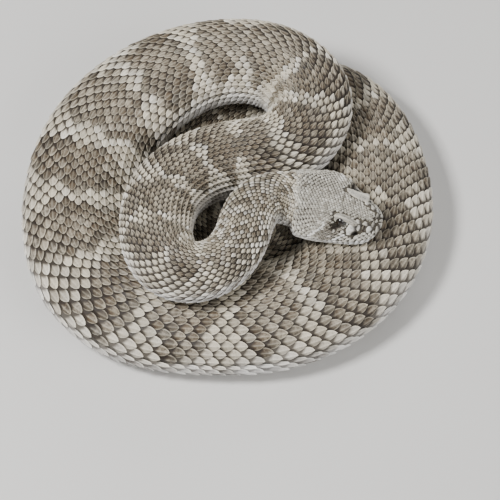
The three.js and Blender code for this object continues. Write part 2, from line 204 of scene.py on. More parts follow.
def smoothstep(low, high, x):
    """0 below low, 1 above high, and a smooth rise between them."""
    t = np.clip((np.asarray(x, float) - low) / (high - low), 0.0, 1.0)
    return t * t * (3 - 2 * t)


def lerp(a, b, t):
    """The value at share t of the way from a to b."""
    return a + (b - a) * t


def table(rows, x):
    """Straight-line lookup of the second column by the first."""
    rows = np.array(rows)
    return np.interp(x, rows[:, 0], rows[:, 1])


# Uneven factors that scatter whole numbers.
HASH_FACTORS, HASH_SPREAD = (12.9898, 78.233, 37.719), 43758.5453


def hash_noise(*keys):
    """Even, repeatable numbers from 0 to 1 for whole-number keys."""
    mix = np.zeros(np.broadcast(*keys).shape)
    for key, factor in zip(keys, HASH_FACTORS):
        mix = mix + np.asarray(key, float) * factor
    return np.modf(np.abs(np.sin(mix) * HASH_SPREAD))[0]


def soft_noise(x, y, seed):
    """Smooth noise from 0 to 1 over a plane, one hill or dip for each unit."""
    x0, y0 = np.floor(x), np.floor(y)
    fx, fy = smoothstep(0, 1, x - x0), smoothstep(0, 1, y - y0)
    low = lerp(hash_noise(x0, y0, seed), hash_noise(x0 + 1, y0, seed), fx)
    high = lerp(hash_noise(x0, y0 + 1, seed), hash_noise(x0 + 1, y0 + 1, seed), fx)
    return lerp(low, high, fy)


class Spline:
    """Natural cubic spline through rows of numbers."""

    def __init__(self, knots, rows):
        self.knots = np.asarray(knots, float)
        self.rows = np.asarray(rows, float)
        gaps = np.diff(self.knots)
        slopes = np.diff(self.rows, axis=0) / gaps[:, None]
        system = np.eye(len(knots))
        right = np.zeros_like(self.rows)
        for i in range(1, len(knots) - 1):
            system[i, i - 1:i + 2] = gaps[i - 1], 2 * (gaps[i - 1] + gaps[i]), gaps[i]
            right[i] = 6 * (slopes[i] - slopes[i - 1])
        self.gaps = gaps
        self.bends = np.linalg.solve(system, right)

    def __call__(self, x):
        """The rows of numbers at x."""
        x = np.asarray(x, float)
        i = np.clip(np.searchsorted(self.knots, x, side="right") - 1, 0, len(self.gaps) - 1)
        gap = self.gaps[i][..., None]
        a = (self.knots[i + 1] - x)[..., None]
        b = (x - self.knots[i])[..., None]
        bend_a, bend_b = self.bends[i], self.bends[i + 1]
        return (
            (bend_a * a**3 + bend_b * b**3) / (6 * gap)
            + (self.rows[i] / gap - bend_a * gap / 6) * a
            + (self.rows[i + 1] / gap - bend_b * gap / 6) * b
        )


girth = Spline([row[0] for row in GIRTH], [row[1:] for row in GIRTH])
head_plan = Spline([math.sqrt(row[0]) for row in HEAD_PLAN], [row[1:] for row in HEAD_PLAN])
head_side = Spline([row[0] for row in HEAD_SIDE], [row[1:] for row in HEAD_SIDE])


def body_line():
    """Spline through the whole route, by plan distance from the snout, and its length."""
    plan = np.array([row[:2] for row in ROUTE_ABOVE + ROUTE_FLOOR])
    at = np.concatenate([[0.0], np.cumsum(np.linalg.norm(np.diff(plan, axis=0), axis=1))])
    heights = girth(at)[:, 1] - BELLY_PRESS
    heights[:len(ROUTE_ABOVE)] = [row[2] for row in ROUTE_ABOVE]
    return Spline(at, np.column_stack([plan - COIL_CENTRE, heights])), at[-1]


line, LINE_LENGTH = body_line()


def unit(vectors):
    """The vectors at length 1."""
    return vectors / np.maximum(np.linalg.norm(vectors, axis=-1, keepdims=True), 1e-12)


def frames(d):
    """Centre of the line at d, with the directions along it, to the side and up."""
    low, high = np.maximum(d - FRAME_STEP, 0), np.minimum(d + FRAME_STEP, LINE_LENGTH)
    along = unit(line(high) - line(low))
    side = unit(np.cross(along, (0.0, 0.0, 1.0)))
    return line(d), along, side, np.cross(side, along)


def round_section(turn, half_width, half_height):
    """Side and up of the body's section at a turn, from the middle of the back."""
    s, c = np.sin(2 * np.pi * turn), np.cos(2 * np.pi * turn)
    power = np.where(c >= 0, 2 / BACK_ROUNDNESS, 2 / BELLY_ROUNDNESS)
    return (
        np.sign(s) * np.abs(s)**power * half_width,
        np.sign(c) * np.abs(c)**power * half_height,
    )


# Points of half the head's section, and how many more are mirrored past each end.
HALF_POINTS = len(HEAD_UPPER) + 1 + len(HEAD_LOWER)
LAST_POINT = HALF_POINTS - 1
MIRRORED_POINTS = 3


def mirrored_weights(sign):
    """Spline weights of the half section's points, mirrored past its two ends."""
    places = range(-MIRRORED_POINTS, HALF_POINTS + MIRRORED_POINTS)
    rows = np.zeros((len(places), HALF_POINTS))
    for row, i in zip(rows, places):
        row[LAST_POINT - abs(LAST_POINT - abs(i))] = 1.0 if 0 <= i <= LAST_POINT else sign
    return Spline(places, rows)


side_weights, up_weights = mirrored_weights(-1.0), mirrored_weights(1.0)


def head_section(back, turn):
    """Side, up and forward of the head's section at a distance behind the snout tip."""
    lips = head_plan(np.sqrt(np.maximum(back, 0)))[:, 0]
    crown, mouth, chin, crown_half = head_side(back).T
    depth = MOUTH_DEPTH * (1 - smoothstep(*MOUTH_FADE, back))
    full = CHEEK_FULLNESS * smoothstep(*CHEEK_FROM, back) * (1 - smoothstep(*CHEEK_TO, back))
    side, up, setback = [], [], []
    for share, flare, down, lift, behind in HEAD_UPPER:
        flare = lerp(flare, 1.0, full) if flare > 0 else 0.0
        side.append(crown_half * share + (lips - crown_half) * flare)
        up.append(crown + down * (mouth - crown) + lift)
        setback.append(np.full_like(back, behind))
    side.append(lips - depth)
    up.append(mouth)
    setback.append(np.full_like(back, MOUTH_SETBACK))
    for share, down, behind in HEAD_LOWER:
        side.append(lips * share)
        up.append(mouth + down * (chin - mouth))
        setback.append(np.full_like(back, behind))
    folded = np.mod(turn, 1.0) * 2 * LAST_POINT
    sign = np.where(folded > LAST_POINT, -1.0, 1.0)
    folded = LAST_POINT - np.abs(LAST_POINT - folded)
    odd, even = side_weights(folded), up_weights(folded)
    drop = np.maximum(0, 1 - back / SNOUT_SLOPE)**2
    return (
        sign * np.sum(odd * np.column_stack(side), axis=1),
        np.sum(even * np.column_stack(up), axis=1),
        np.sum(even * np.column_stack(setback), axis=1) * drop,
    )


def surface(d, turn):
    """Points of the animal's outer form at plan distance d and a turn round the body."""
    d, turn = np.broadcast_arrays(np.asarray(d, float), np.asarray(turn, float))
    shape = d.shape
    d, turn = d.ravel(), turn.ravel()
    centre, along, side, up = frames(d)
    across, height = round_section(turn, *girth(d).T)
    forward = np.zeros_like(d)
    on_head = d < HEAD_LENGTH
    if on_head.any():
        head_across, head_up, head_forward = head_section(d[on_head], turn[on_head])
        blend = smoothstep(*NECK_BLEND, d[on_head])
        across[on_head] = lerp(head_across, across[on_head], blend)
        height[on_head] = lerp(head_up, height[on_head], blend)
        forward[on_head] = head_forward
    points = centre + side * across[:, None] + up * height[:, None] + along * forward[:, None]
    points[:, 2] = np.maximum(points[:, 2], 0.0)
    return points.reshape(shape + (3,))


def around_at(d, turn):
    """How the surface runs for a whole turn round the body."""
    return (surface(d, turn + TURN_STEP) - surface(d, turn - TURN_STEP)) / (2 * TURN_STEP)


def normals(d, turn):
    """Outward directions of the surface."""
    low, high = np.maximum(d - D_STEP, SNOUT_TIP), np.minimum(d + D_STEP, LINE_LENGTH)
    along = (surface(high, turn) - surface(low, turn)) / (high - low)[..., None]
    return unit(np.cross(around_at(d, turn), along))


def coat_depth(d):
    """How far the skin lies below the outer form, so that the scales' tips reach it."""
    return COAT_DEPTH * table(SCALE_PITCH, d)


def walked(d, steps):
    """Distances along the surface from the middle of the back to turns round the body."""
    ring = surface(d, steps)
    return np.concatenate([[0], np.cumsum(np.linalg.norm(np.diff(ring, axis=0), axis=1))])


def half_girth(d):
    """Length of the surface from the middle of the back to the middle of the belly."""
    return walked(d, HALF_TURN)[-1]


def turns_at_shares(d, share):
    """Turns where the girth, walked from the middle of the back, reaches signed shares."""
    way = walked(d, HALF_TURN)
    return np.sign(share) * np.interp(np.abs(share), way / way[-1], HALF_TURN)


# Markings


# Blotches: pitch in half widths of the body, half length as a share of the pitch, and half
# width as a share of the half girth. Then the spots between them: length as a share of the
# pitch, and middle and half width as shares of the half girth.
BLOTCH_PITCH = 1.25
BLOTCH_HALF_LENGTH = 0.40
BLOTCH_HALF_SHARE = 0.40
SPOT_LENGTH = 0.5
SPOT_SHARE = 0.60
SPOT_HALF_SHARE = 0.11
# Smooth edges of a blotch's middle, dark edge and pale border, in half sizes of the blotch.
BLOTCH_FILL = (0.78, 1.08)
EDGE_INNER, EDGE_OUTER = (0.45, 0.70), (0.88, 1.12)
BORDER_INNER, BORDER_OUTER = (0.98, 1.08), (1.16, 1.34)
# Noise of the markings: length of a hill along the body, hills to the half girth, seed.
WANDER, FINE, BROAD = (0.008, 8, 3), (0.0032, 20, 5), (0.03, 3, 8)
# Plan distances between which the pale neck ends, blotches begin and borders turn duller.
PALE_NECK_END = (0.060, 0.085)
BLOTCHES_BEGIN, BLOTCHES_FULL = (0.046, 0.056), (0.09, 0.13)
DULLER_BORDERS = (0.36, 0.44)
# Shares of the half girth between which the flanks of the neck and of the body begin.
NECK_FLANK, BODY_FLANK = (0.30, 0.52), (0.32, 0.66)
# Length of a ring of the tail, how strong the dark ones are, and where they fade to the belly.
TAIL_BAND = 0.0105
TAIL_DARK = 1.6
TAIL_UNDERSIDE = (0.7, 0.95)
# Steps along the line by which the blotches are counted.
BLOTCH_STEPS = 800


def blotch_phase(d):
    """Which blotch of the back a distance falls in, whole numbers at their middles."""
    steps = np.linspace(0, LINE_LENGTH, BLOTCH_STEPS)
    pitch = BLOTCH_PITCH * girth(steps)[:, 0]
    count = np.concatenate([[0], np.cumsum(np.diff(steps) / pitch[1:])])
    return np.interp(d, steps, count)


def between(inner, outer, x):
    """1 between two smooth edges and 0 outside them."""
    return smoothstep(*inner, x) * (1 - smoothstep(*outer, x))


def off_middle(phase):
    """How far a phase is from a whole number, 1 at the most."""
    return 2 * np.abs(phase - np.round(phase))


def markings(d, share):
    """Blotch, dark, white and flank masks from 0 to 1 at places on the body."""
    d, share = np.broadcast_arrays(np.asarray(d, float), np.asarray(share, float))
    out = np.abs(share)
    phase = blotch_phase(d)
    wander, fine, broad = (
        soft_noise(d / hill, share * hills, seed) for hill, hills, seed in (WANDER, FINE, BROAD))
    wander = wander - 0.5
    reach = 0.75 * wander + np.hypot(
        off_middle(phase) / (2 * BLOTCH_HALF_LENGTH), share / BLOTCH_HALF_SHARE)
    faded = 0.7 + 0.3 * smoothstep(0.2, 0.7, broad)
    edge = between(EDGE_INNER, EDGE_OUTER, reach)
    blotch = np.maximum((1 - smoothstep(*BLOTCH_FILL, reach)) * (0.7 + 0.3 * fine), edge) * faded
    dark = edge * smoothstep(0.25, 0.65, fine) * faded
    white = between(BORDER_INNER, BORDER_OUTER, reach)
    white = white * (0.9 - 0.3 * smoothstep(*DULLER_BORDERS, d))
    # Spots on the sides, halfway between the blotches.
    spot = off_middle(phase + 0.5) / SPOT_LENGTH + np.abs(out - SPOT_SHARE) / SPOT_HALF_SHARE
    spot = spot + 0.7 * wander
    spot = (1 - smoothstep(0.6, 1.15, spot)) * (0.35 + 0.65 * fine)
    blotch = np.maximum(blotch, 0.75 * spot)
    dark = np.maximum(dark, 0.30 * spot * smoothstep(0.5, 0.9, fine))
    # The neck: pale flanks with a dark net, and blotches that come in gradually.
    neck = (1 - smoothstep(*PALE_NECK_END, d)) * smoothstep(*NECK_FLANK, out + 0.1 * wander)
    shown = 0.45 * smoothstep(*BLOTCHES_BEGIN, d) + 0.55 * smoothstep(*BLOTCHES_FULL, d)
    blotch = blotch * (1 - 0.8 * neck) * shown
    dark = np.maximum(dark * shown, 0.9 * neck * smoothstep(0.55, 0.7, fine))
    white = np.maximum(white, 0.85 * neck) * (0.4 + 0.6 * fine)
    # The tail: black and white rings.
    on_tail = smoothstep(VENT - 0.004, VENT + 0.002, d)
    ring = smoothstep(-0.25, 0.25, np.sin(np.pi * (d - VENT) / TAIL_BAND + 0.6 * wander))
    dark = lerp(dark, TAIL_DARK * ring * (1 - 0.6 * smoothstep(*TAIL_UNDERSIDE, out)), on_tail)
    white = lerp(white, 0.9 * (1 - ring), on_tail)
    flank = smoothstep(*BODY_FLANK, out + 0.12 * wander) * (1 - on_tail)
    return np.stack([blotch * (1 - on_tail), dark, white, flank], axis=-1)


# Meshes


# Numbers of the colour layers: the masks of "marks", then those of "form" that are set alone.
BLOTCH, DARK, WHITE, FLANK = range(4)
ALONG, CHANCE = 0, 2


def flat_faces(faces):
    """Corners of all faces in one row, and how many each face has."""
    return np.concatenate([np.asarray(face) for face in faces]), np.array([len(f) for f in faces])


def new_piece(name, points, corners, counts, marks=None, form=None, bake=None):
    """Object made of points and faces, with its colour layers and bake map for each point."""
    mesh = bpy.data.meshes.new(name)
    points = np.asarray(points, float).reshape(-1, 3)
    mesh.vertices.add(len(points))
    mesh.vertices.foreach_set("co", points.ravel())
    mesh.loops.add(len(corners))
    mesh.loops.foreach_set("vertex_index", corners)
    mesh.polygons.add(len(counts))
    mesh.polygons.foreach_set("loop_start", np.concatenate([[0], np.cumsum(counts)[:-1]]))
    mesh.update(calc_edges=True)
    for layer, values in (("marks", marks), ("form", form)):
        if values is not None:
            colours = mesh.attributes.new(layer, "FLOAT_COLOR", "POINT")
            colours.data.foreach_set("color", np.asarray(values, float).ravel())
    if bake is not None:
        uv_map = mesh.uv_layers.new(name="OFBake")
        uv_map.data.foreach_set("uv", np.asarray(bake, float).reshape(-1, 2)[corners].ravel())
    mesh.validate()
    piece = bpy.data.objects.new(name, mesh)
    bpy.context.scene.collection.objects.link(piece)
    return piece


def select_only(piece):
    """Selects one piece and nothing else."""
    bpy.ops.object.select_all(action="DESELECT")
    piece.select_set(True)
    bpy.context.view_layer.objects.active = piece


def added(operator, name, **settings):
    """The object that one of Blender's add operators makes, under its own name."""
    bpy.ops.object.select_all(action="DESELECT")
    operator(**settings)
    bpy.context.object.name = name
    return bpy.context.object


@contextmanager
def all_in_edit_mode():
    """Edit mode with everything selected, left with every face turned outward."""
    bpy.ops.object.mode_set(mode="EDIT")
    bpy.ops.mesh.select_all(action="SELECT")
    yield
    bpy.ops.mesh.select_all(action="SELECT")
    bpy.ops.mesh.normals_make_consistent(inside=False)
    bpy.ops.object.mode_set(mode="OBJECT")


def taken_apart(model):
    """Points and faces of a modelled object, which is then removed."""
    mesh = model.data
    points = np.array([vertex.co for vertex in mesh.vertices])
    faces = [tuple(polygon.vertices) for polygon in mesh.polygons]
    bpy.data.objects.remove(model, do_unlink=True)
    bpy.data.meshes.remove(mesh)
    return points, faces


def finish_piece(piece, material, angle):
    """Shades a piece smooth up to an angle, gives it its finish and ties it to the body."""
    select_only(piece)
    bpy.ops.object.shade_smooth_by_angle(angle=math.radians(angle))
    piece.data.materials.clear()
    piece.data.materials.append(material)
    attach(piece, BODY)


# Points round the skin, the step between its rings, and rings closer together on the head.
SKIN_AROUND = 96
SKIN_STEP = 0.002
HEAD_RINGS = 110
HEAD_RING_GROWTH = 1.35
# Least height of the skin above the floor.
SKIN_FLOOR_GAP = 0.0003
# The skin's bake map is cut into this many strips, with a margin round each.
SKIN_STRIPS = 8
BAKE_MARGIN = 0.01
# Reach and depth of the hollows of the head.
HOLLOWS = (
    (SOCKET, 0.0047, 0.0021), (NOSTRIL, 0.0018, 0.0016), (HEAT_PIT, 0.0022, 0.0020),
)


def head_point(back, side, up):
    """Place on the head, given as distances behind the snout tip, to the side and up."""
    centre, _, across, above = frames(np.array([back]))
    return (centre + across * side + above * up)[0]


def dimple(points, outward):
    """Sinks the eye sockets, nostrils and heat pits into points of the head."""
    for (back, side, up), reach, depth in HOLLOWS:
        for sign in (-1, 1):
            away = np.linalg.norm(points - head_point(back, side * sign, up), axis=-1) / reach
            points = points - outward * (np.clip(1 - away**2, 0, 1) * depth)[..., None]
    return points


def tube_faces(rings, around):
    """Faces of a tube of rings, its ends closed on the two points that follow the rings."""
    near = np.arange(around)
    after = np.roll(near, -1)
    faces = []
    for start in np.arange(rings - 1) * around:
        corners = np.stack([near, near + around, after + around, after], axis=1)
        faces += (corners + start).tolist()
    first, last = rings * around, rings * around + 1
    faces += [(first, j, k) for j, k in zip(near, after)]
    end = (rings - 1) * around
    return faces + [(last, k + end, j + end) for j, k in zip(near, after)]


def make_skin(material):
    """The whole skin from the snout tip to the rattle."""
    head = HEAD_LENGTH * np.linspace(0, 1, HEAD_RINGS)**HEAD_RING_GROWTH
    head[0] = SNOUT_TIP
    body = np.linspace(HEAD_LENGTH, TAIL_END, int((TAIL_END - HEAD_LENGTH) / SKIN_STEP))[1:]
    rings = np.concatenate([head, body])
    d, turn = np.meshgrid(rings, np.arange(SKIN_AROUND) / SKIN_AROUND, indexing="ij")
    outward = normals(d, turn)
    points = dimple(surface(d, turn) - outward * coat_depth(d)[..., None], outward)
    points[0] = surface(d[0], turn[0])  # the snout's tip stays in the outer form
    points[..., 2] = np.maximum(points[..., 2], SKIN_FLOOR_GAP)
    ends = points[[0, -1]].mean(axis=1)
    share = np.minimum(turn, 1 - turn) * 2 * np.where(turn > 0.5, -1, 1)
    marks = markings(d, share)
    on_head = rings < HEAD_LENGTH + SKIN_STEP
    marks[on_head] = head_markings(d[on_head], turn[on_head])
    strip = (d / TAIL_END * SKIN_STRIPS).clip(0, SKIN_STRIPS - 1e-4)
    bake = np.stack([
        strip % 1.0 * (1 - 2 * BAKE_MARGIN) + BAKE_MARGIN,
        (strip // 1 + 2 * BAKE_MARGIN + (1 - 4 * BAKE_MARGIN) * turn) / SKIN_STRIPS,
    ], axis=-1)
    marks, bake = (
        np.vstack([part.reshape(-1, part.shape[-1]), part[0, :1], part[-1, -1:]])
        for part in (marks, bake))
    form = np.zeros_like(marks)
    form[:, CHANCE] = 0.5
    skin = new_piece(
        "skin", np.vstack([points.reshape(-1, 3), ends]),
        *flat_faces(tube_faces(len(rings), SKIN_AROUND)), marks, form, bake)
    select_only(skin)
    with all_in_edit_mode():
        bpy.ops.mesh.remove_doubles(threshold=1e-6)
    finish_piece(skin, material, 80)
    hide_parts(*FLESH)


# Scales


class Shape:
    """A scale modelled once.

    It has the shares of the length and half width where each point is, how much of the
    rise, dome, keel and thickness each point takes, its colour layer and its faces.
    """

    def __init__(self, along, across, parts, form, faces):
        self.along, self.across, self.parts, self.form = along, across, parts, form
        self.corners, self.counts = flat_faces(faces)

    def height(self, rise, dome, keel, thickness):
        """Heights over the skin, one row for each copy."""
        shares = (np.atleast_1d(share)[:, None] for share in (rise, dome, keel, -thickness))
        return sum(share * part[None] for share, part in zip(shares, self.parts))


# Outline of a keeled scale: width of its root, where it is widest, and how round its tip is.
ROOT_WIDTH = 0.62
WIDEST = 0.55
TIP_ROUNDNESS = 0.80
# How square a plate is, and how sharp its corners.
PLATE_SQUARENESS, PLATE_CORNER = 5, 0.3
# Half width of the keel, its softer half width in the colour layer, where the keel's painted
# highlight lies, and where along the scale it rises and falls.
KEEL_HALF_WIDTH, RIDGE_HALF_WIDTH = 0.22, 0.30
KEEL_RISE, KEEL_FALL = (0.12, 0.3), (1, 0.85)
# Least half width of a scale that shares across it are measured by.
LEAST_HALF_WIDTH = 0.05
# Powers that draw the grid's lines together at the tip and the middle of a keeled scale.
TIP_CROWDING, MIDDLE_CROWDING = 1.5, 1.3


def lance(u):
    """Half width of a keeled scale along its length, as a share of its widest."""
    root = lerp(ROOT_WIDTH, 1, np.sin(np.pi / 2 * np.clip(u / WIDEST, 0, 1)))
    tip = (1 - np.clip((u - WIDEST) / (1 - WIDEST), 0, 1)**2)**TIP_ROUNDNESS
    return np.where(u < WIDEST, root, tip)


def block(u):
    """Half width of a plate with rounded corners along its length."""
    return (1 - np.abs(2 * u - 1)**PLATE_SQUARENESS)**PLATE_CORNER


def model_shape(name, outline, columns, rows, even=False):
    """Models a scale on a grid, from root to tip, and gives it a rim and an underside."""
    grid = added(
        bpy.ops.mesh.primitive_grid_add, name, x_subdivisions=rows, y_subdivisions=columns, size=2)
    for vertex in grid.data.vertices:
        u, v = (vertex.co.x + 1) / 2, vertex.co.y
        if not even:
            u = 1 - (1 - u)**TIP_CROWDING
            v = math.copysign(abs(v)**MIDDLE_CROWDING, v)
        vertex.co = (u, v * float(outline(u)), 0)
    with all_in_edit_mode():
        bpy.ops.mesh.remove_doubles(threshold=1e-4)
        bpy.ops.mesh.select_all(action="SELECT")
        bpy.ops.mesh.region_to_loop()
        bpy.ops.mesh.extrude_edges_move(TRANSFORM_OT_translate={"value": (0, 0, -1)})
        bpy.ops.mesh.edge_face_add()
    points, faces = taken_apart(grid)
    u, across, under = points.T * ((1,), (1,), (-1,))
    v = across / np.maximum(outline(u), LEAST_HALF_WIDTH)
    keel, ridge = (
        np.clip(1 - np.abs(v) / half, 0, 1) for half in (KEEL_HALF_WIDTH, RIDGE_HALF_WIDTH))
    keel = keel * smoothstep(*KEEL_RISE, u) * smoothstep(*KEEL_FALL, u)
    rim = np.maximum(np.abs(v), np.clip((u - 0.5) / 0.5, 0, 1)**1.5)
    form = np.stack([u, np.where(under > 0.5, 1.0, rim), np.zeros_like(u), ridge], axis=-1)
    return Shape(u, across, (u, 1 - v * v, keel, under), form, faces)


# Length over which the snout's end is blunt.
SNOUT_BLUNT = 0.004
# Least reach of the surface for a unit of run and for a whole turn.
LEAST_STRETCH, LEAST_SPREAD = 0.2, 0.002
# Where a bend draws the skin together, scales shorten down to one stretch of the surface and
# steepen down to another. Then the power they shorten by, and how much they lengthen outside.
TIGHTEST, STEEPEST = 0.4, 0.35
SHORTENING, LENGTHENING = 0.6, 0.5
# Least height of the scales above the floor.
SCALE_FLOOR_GAP = 0.0001
# Length on the bake map of every scale.
BAKE_PATCH = 0.003


def run_of(d):
    """Distance measured so that the blunt snout isn't crowded: nearly d plus a constant."""
    return np.sqrt((d + SNOUT_BLUNT)**2 - SNOUT_BLUNT**2)


def unfold(run, turn):
    """Plan distance and turn at a run, where a run below zero is past the snout's middle."""
    d = np.sqrt(run**2 + SNOUT_BLUNT**2) - SNOUT_BLUNT
    return np.clip(d, SNOUT_TIP, LINE_LENGTH), np.where(run < 0, -turn, turn)


def spans(run, turn):
    """How far the surface reaches for a unit of run and for a whole turn."""
    along = surface(*unfold(run + D_STEP, turn)) - surface(*unfold(run - D_STEP, turn))
    around = around_at(*unfold(run, turn))
    return (
        np.maximum(np.linalg.norm(along, axis=-1) / (2 * D_STEP), LEAST_STRETCH),
        np.maximum(np.linalg.norm(around, axis=-1), LEAST_SPREAD),
    )


def lay(
    shape, d, turn, length, width, lift, keel, dome=0.45, thickness=0.35, firm=False, twist=0.0,
):
    """Points of one copy of the shape at each place, laid over the skin with tips back.

    Lift is the height of the tip; dome, keel and thickness are shares of it. A firm shape
    keeps its length, others shorten and steepen where the skin is drawn together in a bend.
    A twist turns the shape on the skin.
    """
    run = run_of(d)
    stretch, spread = spans(run, turn)
    lift = np.broadcast_to(lift, d.shape)
    tight = 1.0
    if not firm:
        tight = np.clip(stretch, STEEPEST, 1)
        length = length * np.clip(stretch, TIGHTEST, 1)**SHORTENING
        length = length * (1 + LENGTHENING * np.maximum(stretch - 1, 0))
    twist = np.broadcast_to(twist, d.shape)[:, None]
    along = (shape.along[None] - 0.5) * np.broadcast_to(length, d.shape)[:, None]
    across = shape.across[None] / 2 * np.broadcast_to(width, d.shape)[:, None]
    d_all, turn_all = unfold(
        run[:, None] + (along * np.cos(twist) - across * np.sin(twist)) / stretch[:, None],
        turn[:, None] + (along * np.sin(twist) + across * np.cos(twist)) / spread[:, None])
    outward = normals(d_all, turn_all)
    height = shape.height(lift / tight, dome * lift * tight, keel * lift, thickness * lift)
    points = surface(d_all, turn_all) + outward * (height - coat_depth(d_all))[..., None]
    if d.min() < SOCKET[0]:
        points = dimple(points, outward)
    points[..., 2] = np.maximum(points[..., 2], SCALE_FLOOR_GAP)
    return points


def bake_places(d, turn, low, high):
    """Where a scale's middle lies on the unwrapped skin between two distances."""
    place = np.stack([np.clip((d - low) / (high - low), 0, 1), np.mod(turn + 0.5, 1.0)], axis=-1)
    return BAKE_MARGIN + (1 - 2 * BAKE_MARGIN) * place


def coat_piece(name, shape, points, marks, chance, bake, material, angle=50):
    """Joins laid copies of a shape into one piece with its colour layers and bake map."""
    count, size = points.shape[:2]
    corners = (shape.corners[None] + np.arange(count)[:, None] * size).ravel()
    form = np.repeat(shape.form[None], count, axis=0)
    form[..., CHANCE] = chance[:, None]
    patch = np.stack([shape.along - 0.5, shape.across / 2], axis=-1) * BAKE_PATCH
    piece = new_piece(
        name, points, corners, np.tile(shape.counts, count),
        np.repeat(marks[:, None], size, axis=1), form, bake[:, None] + patch[None])
    finish_piece(piece, material, angle)


def row_distances(low, high):
    """Distances between two of the rows of scales that start behind the jaw."""
    rows = [JAW_END]
    while rows[-1] < TAIL_END - LAST_ROW_GAP:
        rows.append(rows[-1] + float(table(SCALE_PITCH, rows[-1])))
    return [row for row in rows if low <= row < high]


def back_shares(d, columns, covered):
    """Signed shares of the half girth at which the columns of scales run, lower ones wider."""
    steps = columns / (columns[-1] + 0.5)
    growth = lerp(*LOW_ROW_GROWTH, smoothstep(*ROWS_GROW, d))
    grown = np.abs(steps) * (1 + growth * np.abs(steps) / 2)
    return np.sign(steps) * grown / (1 + growth / 2) * covered


def make_back_scales(name, low, high, shape, material, seed, lift, overlap):
    """The keeled scales of the back between two distances."""
    side_rows, covered = BACK_ROWS[low >= VENT]
    columns = np.arange(-side_rows, side_rows + 1)
    random = np.random.default_rng(seed)
    rows = []
    for row in row_distances(low, high):
        share = back_shares(row, columns, covered)
        pitch = table(SCALE_PITCH, row)
        rows.append(np.broadcast_arrays(
            row + np.where(columns % 2, pitch / 2, 0), turns_at_shares(row, share), share,
            np.gradient(share) * half_girth(row), pitch))
    rows = np.concatenate(rows, axis=1)
    d, turn, share, width, pitch = rows[:, (rows[0] > CROWN_EDGE) | (np.abs(rows[1]) > JAW_TURN)]
    count = len(d)
    d = d + pitch * PLACE_JITTER * (random.random(count) - 0.5)
    chance = random.random(count)
    size = 1 + SIZE_JITTER * (2 * random.random(count) - 1)
    slim = 1 - smoothstep(*SLIM_SCALES_END, d)
    points = lay(
        shape, d, turn, (overlap + SLIM_LENGTH * slim) * pitch * size,
        lerp(*SCALE_WIDTH, slim) * width * size, (lift + SLIM_LIFT * slim) * pitch,
        keel=KEEL_HEIGHT * (1 - smoothstep(*KEEL_FADE, np.abs(share))))
    marks = markings(d, share)
    marks[:, :2] *= 0.75 + 0.5 * random.random((count, 2))
    odd = random.random(count)
    on_neck = 1 - smoothstep(*ODD_SCALES_END, d)
    # Single dark and pale scales: which, how strong on the back, how much more on the neck.
    for mask, chosen, on_back, more in (
        (BLOTCH, odd < 0.34, 0.20, 0.66), (DARK, odd < 0.14, 0.0, 0.70),
        (WHITE, odd > 0.76, 0.20, 0.50),
    ):
        marks[:, mask] = np.maximum(marks[:, mask], chosen * (on_back + more * on_neck))
    marks[:, WHITE] *= 0.55 + 0.45 * random.random(count)
    coat_piece(
        name, shape, points, marks.clip(0, 1), chance, bake_places(d, turn, low, high),
        material)


def make_belly_plates(name, low, high, shape, material):
    """The broad plates of the belly between two distances."""
    d = np.array(row_distances(low, high))
    pitch = table(SCALE_PITCH, d)
    share = 1 - BACK_ROWS[low >= VENT][1] + PLATE_TUCK
    width = np.array([2 * share * half_girth(row) for row in d])
    turn = np.full(len(d), BELLY_TURN)
    points = lay(
        shape, d, turn, BELLY_OVERLAP * pitch, width, BELLY_LIFT * pitch,
        dome=0.1, keel=0.0, thickness=0.4)
    marks = markings(d, 1.0)
    marks[:, FLANK] = np.where(d < VENT, 1.0, marks[:, FLANK])
    coat_piece(
        name, shape, points, marks, hash_noise(np.arange(len(d)), 7),
        bake_places(d, turn, low, high), material)


# Head


# Turns of the eye, of the rows of plates at the lips and on the chin, and of the jaw's edge.
EYE_TURN = 0.118
LABIAL_TURNS = (0.240, 0.303)
LOWER_LABIAL_TURNS = (0.325, 0.388)
CHIN_TURNS = ((0.388, 0.437), (0.437, 0.487))
JAW_TURN = 0.225
JAW_END = 0.0385
# Scales of the crown: where they end and the back's scales begin, pitch, spacing of the
# columns, where they start, share of the half girth they cover, how much a place varies, lift
# of the tips, and how much larger they get towards the neck and where.
CROWN_END = 0.0435
CROWN_EDGE = 0.0419
CROWN_PITCH = 0.0016
CROWN_SPACING = 0.00104
CROWN_START = 0.0006
CROWN_COVER = 0.55
CROWN_JITTER = 0.00025
CROWN_LIFT = 0.00055
LONGER, LONGER_FROM = 1.15, (0.02, 0.04)
BROADER, BROADER_FROM = 1.4, (0.026, 0.043)
# Room kept free of crown scales round the eyes but for their brow side, then round the brow
# plates and the other plates, and the turn kept free above the lips.
EYE_MARGIN = 0.0010
UNDER_BROW = 0.0012
BROW_MARGIN = 0.0014
PLATE_MARGIN = 0.0013
LIP_MARGIN = 0.008
# Front and rear edge of the dark cheek band: place, lean, and turn from which it leans.
BAND_FRONT, BAND_REAR = (0.0148, 0.062, 0.161), (0.0212, 0.083, 0.096)
BAND_EDGE = (-0.0007, 0.0007)
BAND_TOP, BAND_BOTTOM = (0.096, 0.112), (0.262, 0.280)
# The pale stripes beside the band: their near edge, and the far edges in front and behind.
STRIPE_NEAR = (0.0004, 0.0010)
STRIPE_FAR_FRONT, STRIPE_FAR_REAR = (0.0028, 0.0036), (0.0026, 0.0034)
# Where the body's markings take over from the head's.
HEAD_MARKS_END = (0.036, 0.046)
# Holes painted dark with shade, the nostrils and heat pits: distance behind the snout tip, turn,
# half length and half turn.
HOLES = ((NOSTRIL[0], 0.113, 0.0009, 0.022), (HEAT_PIT[0], 0.182, 0.0014, 0.018))
# The eye socket's dark patch, partly dark skin round the eye and partly painted shade under the
# brow plate.
SOCKET_HOLE = (SOCKET[0], EYE_TURN, 0.0040, 0.048)


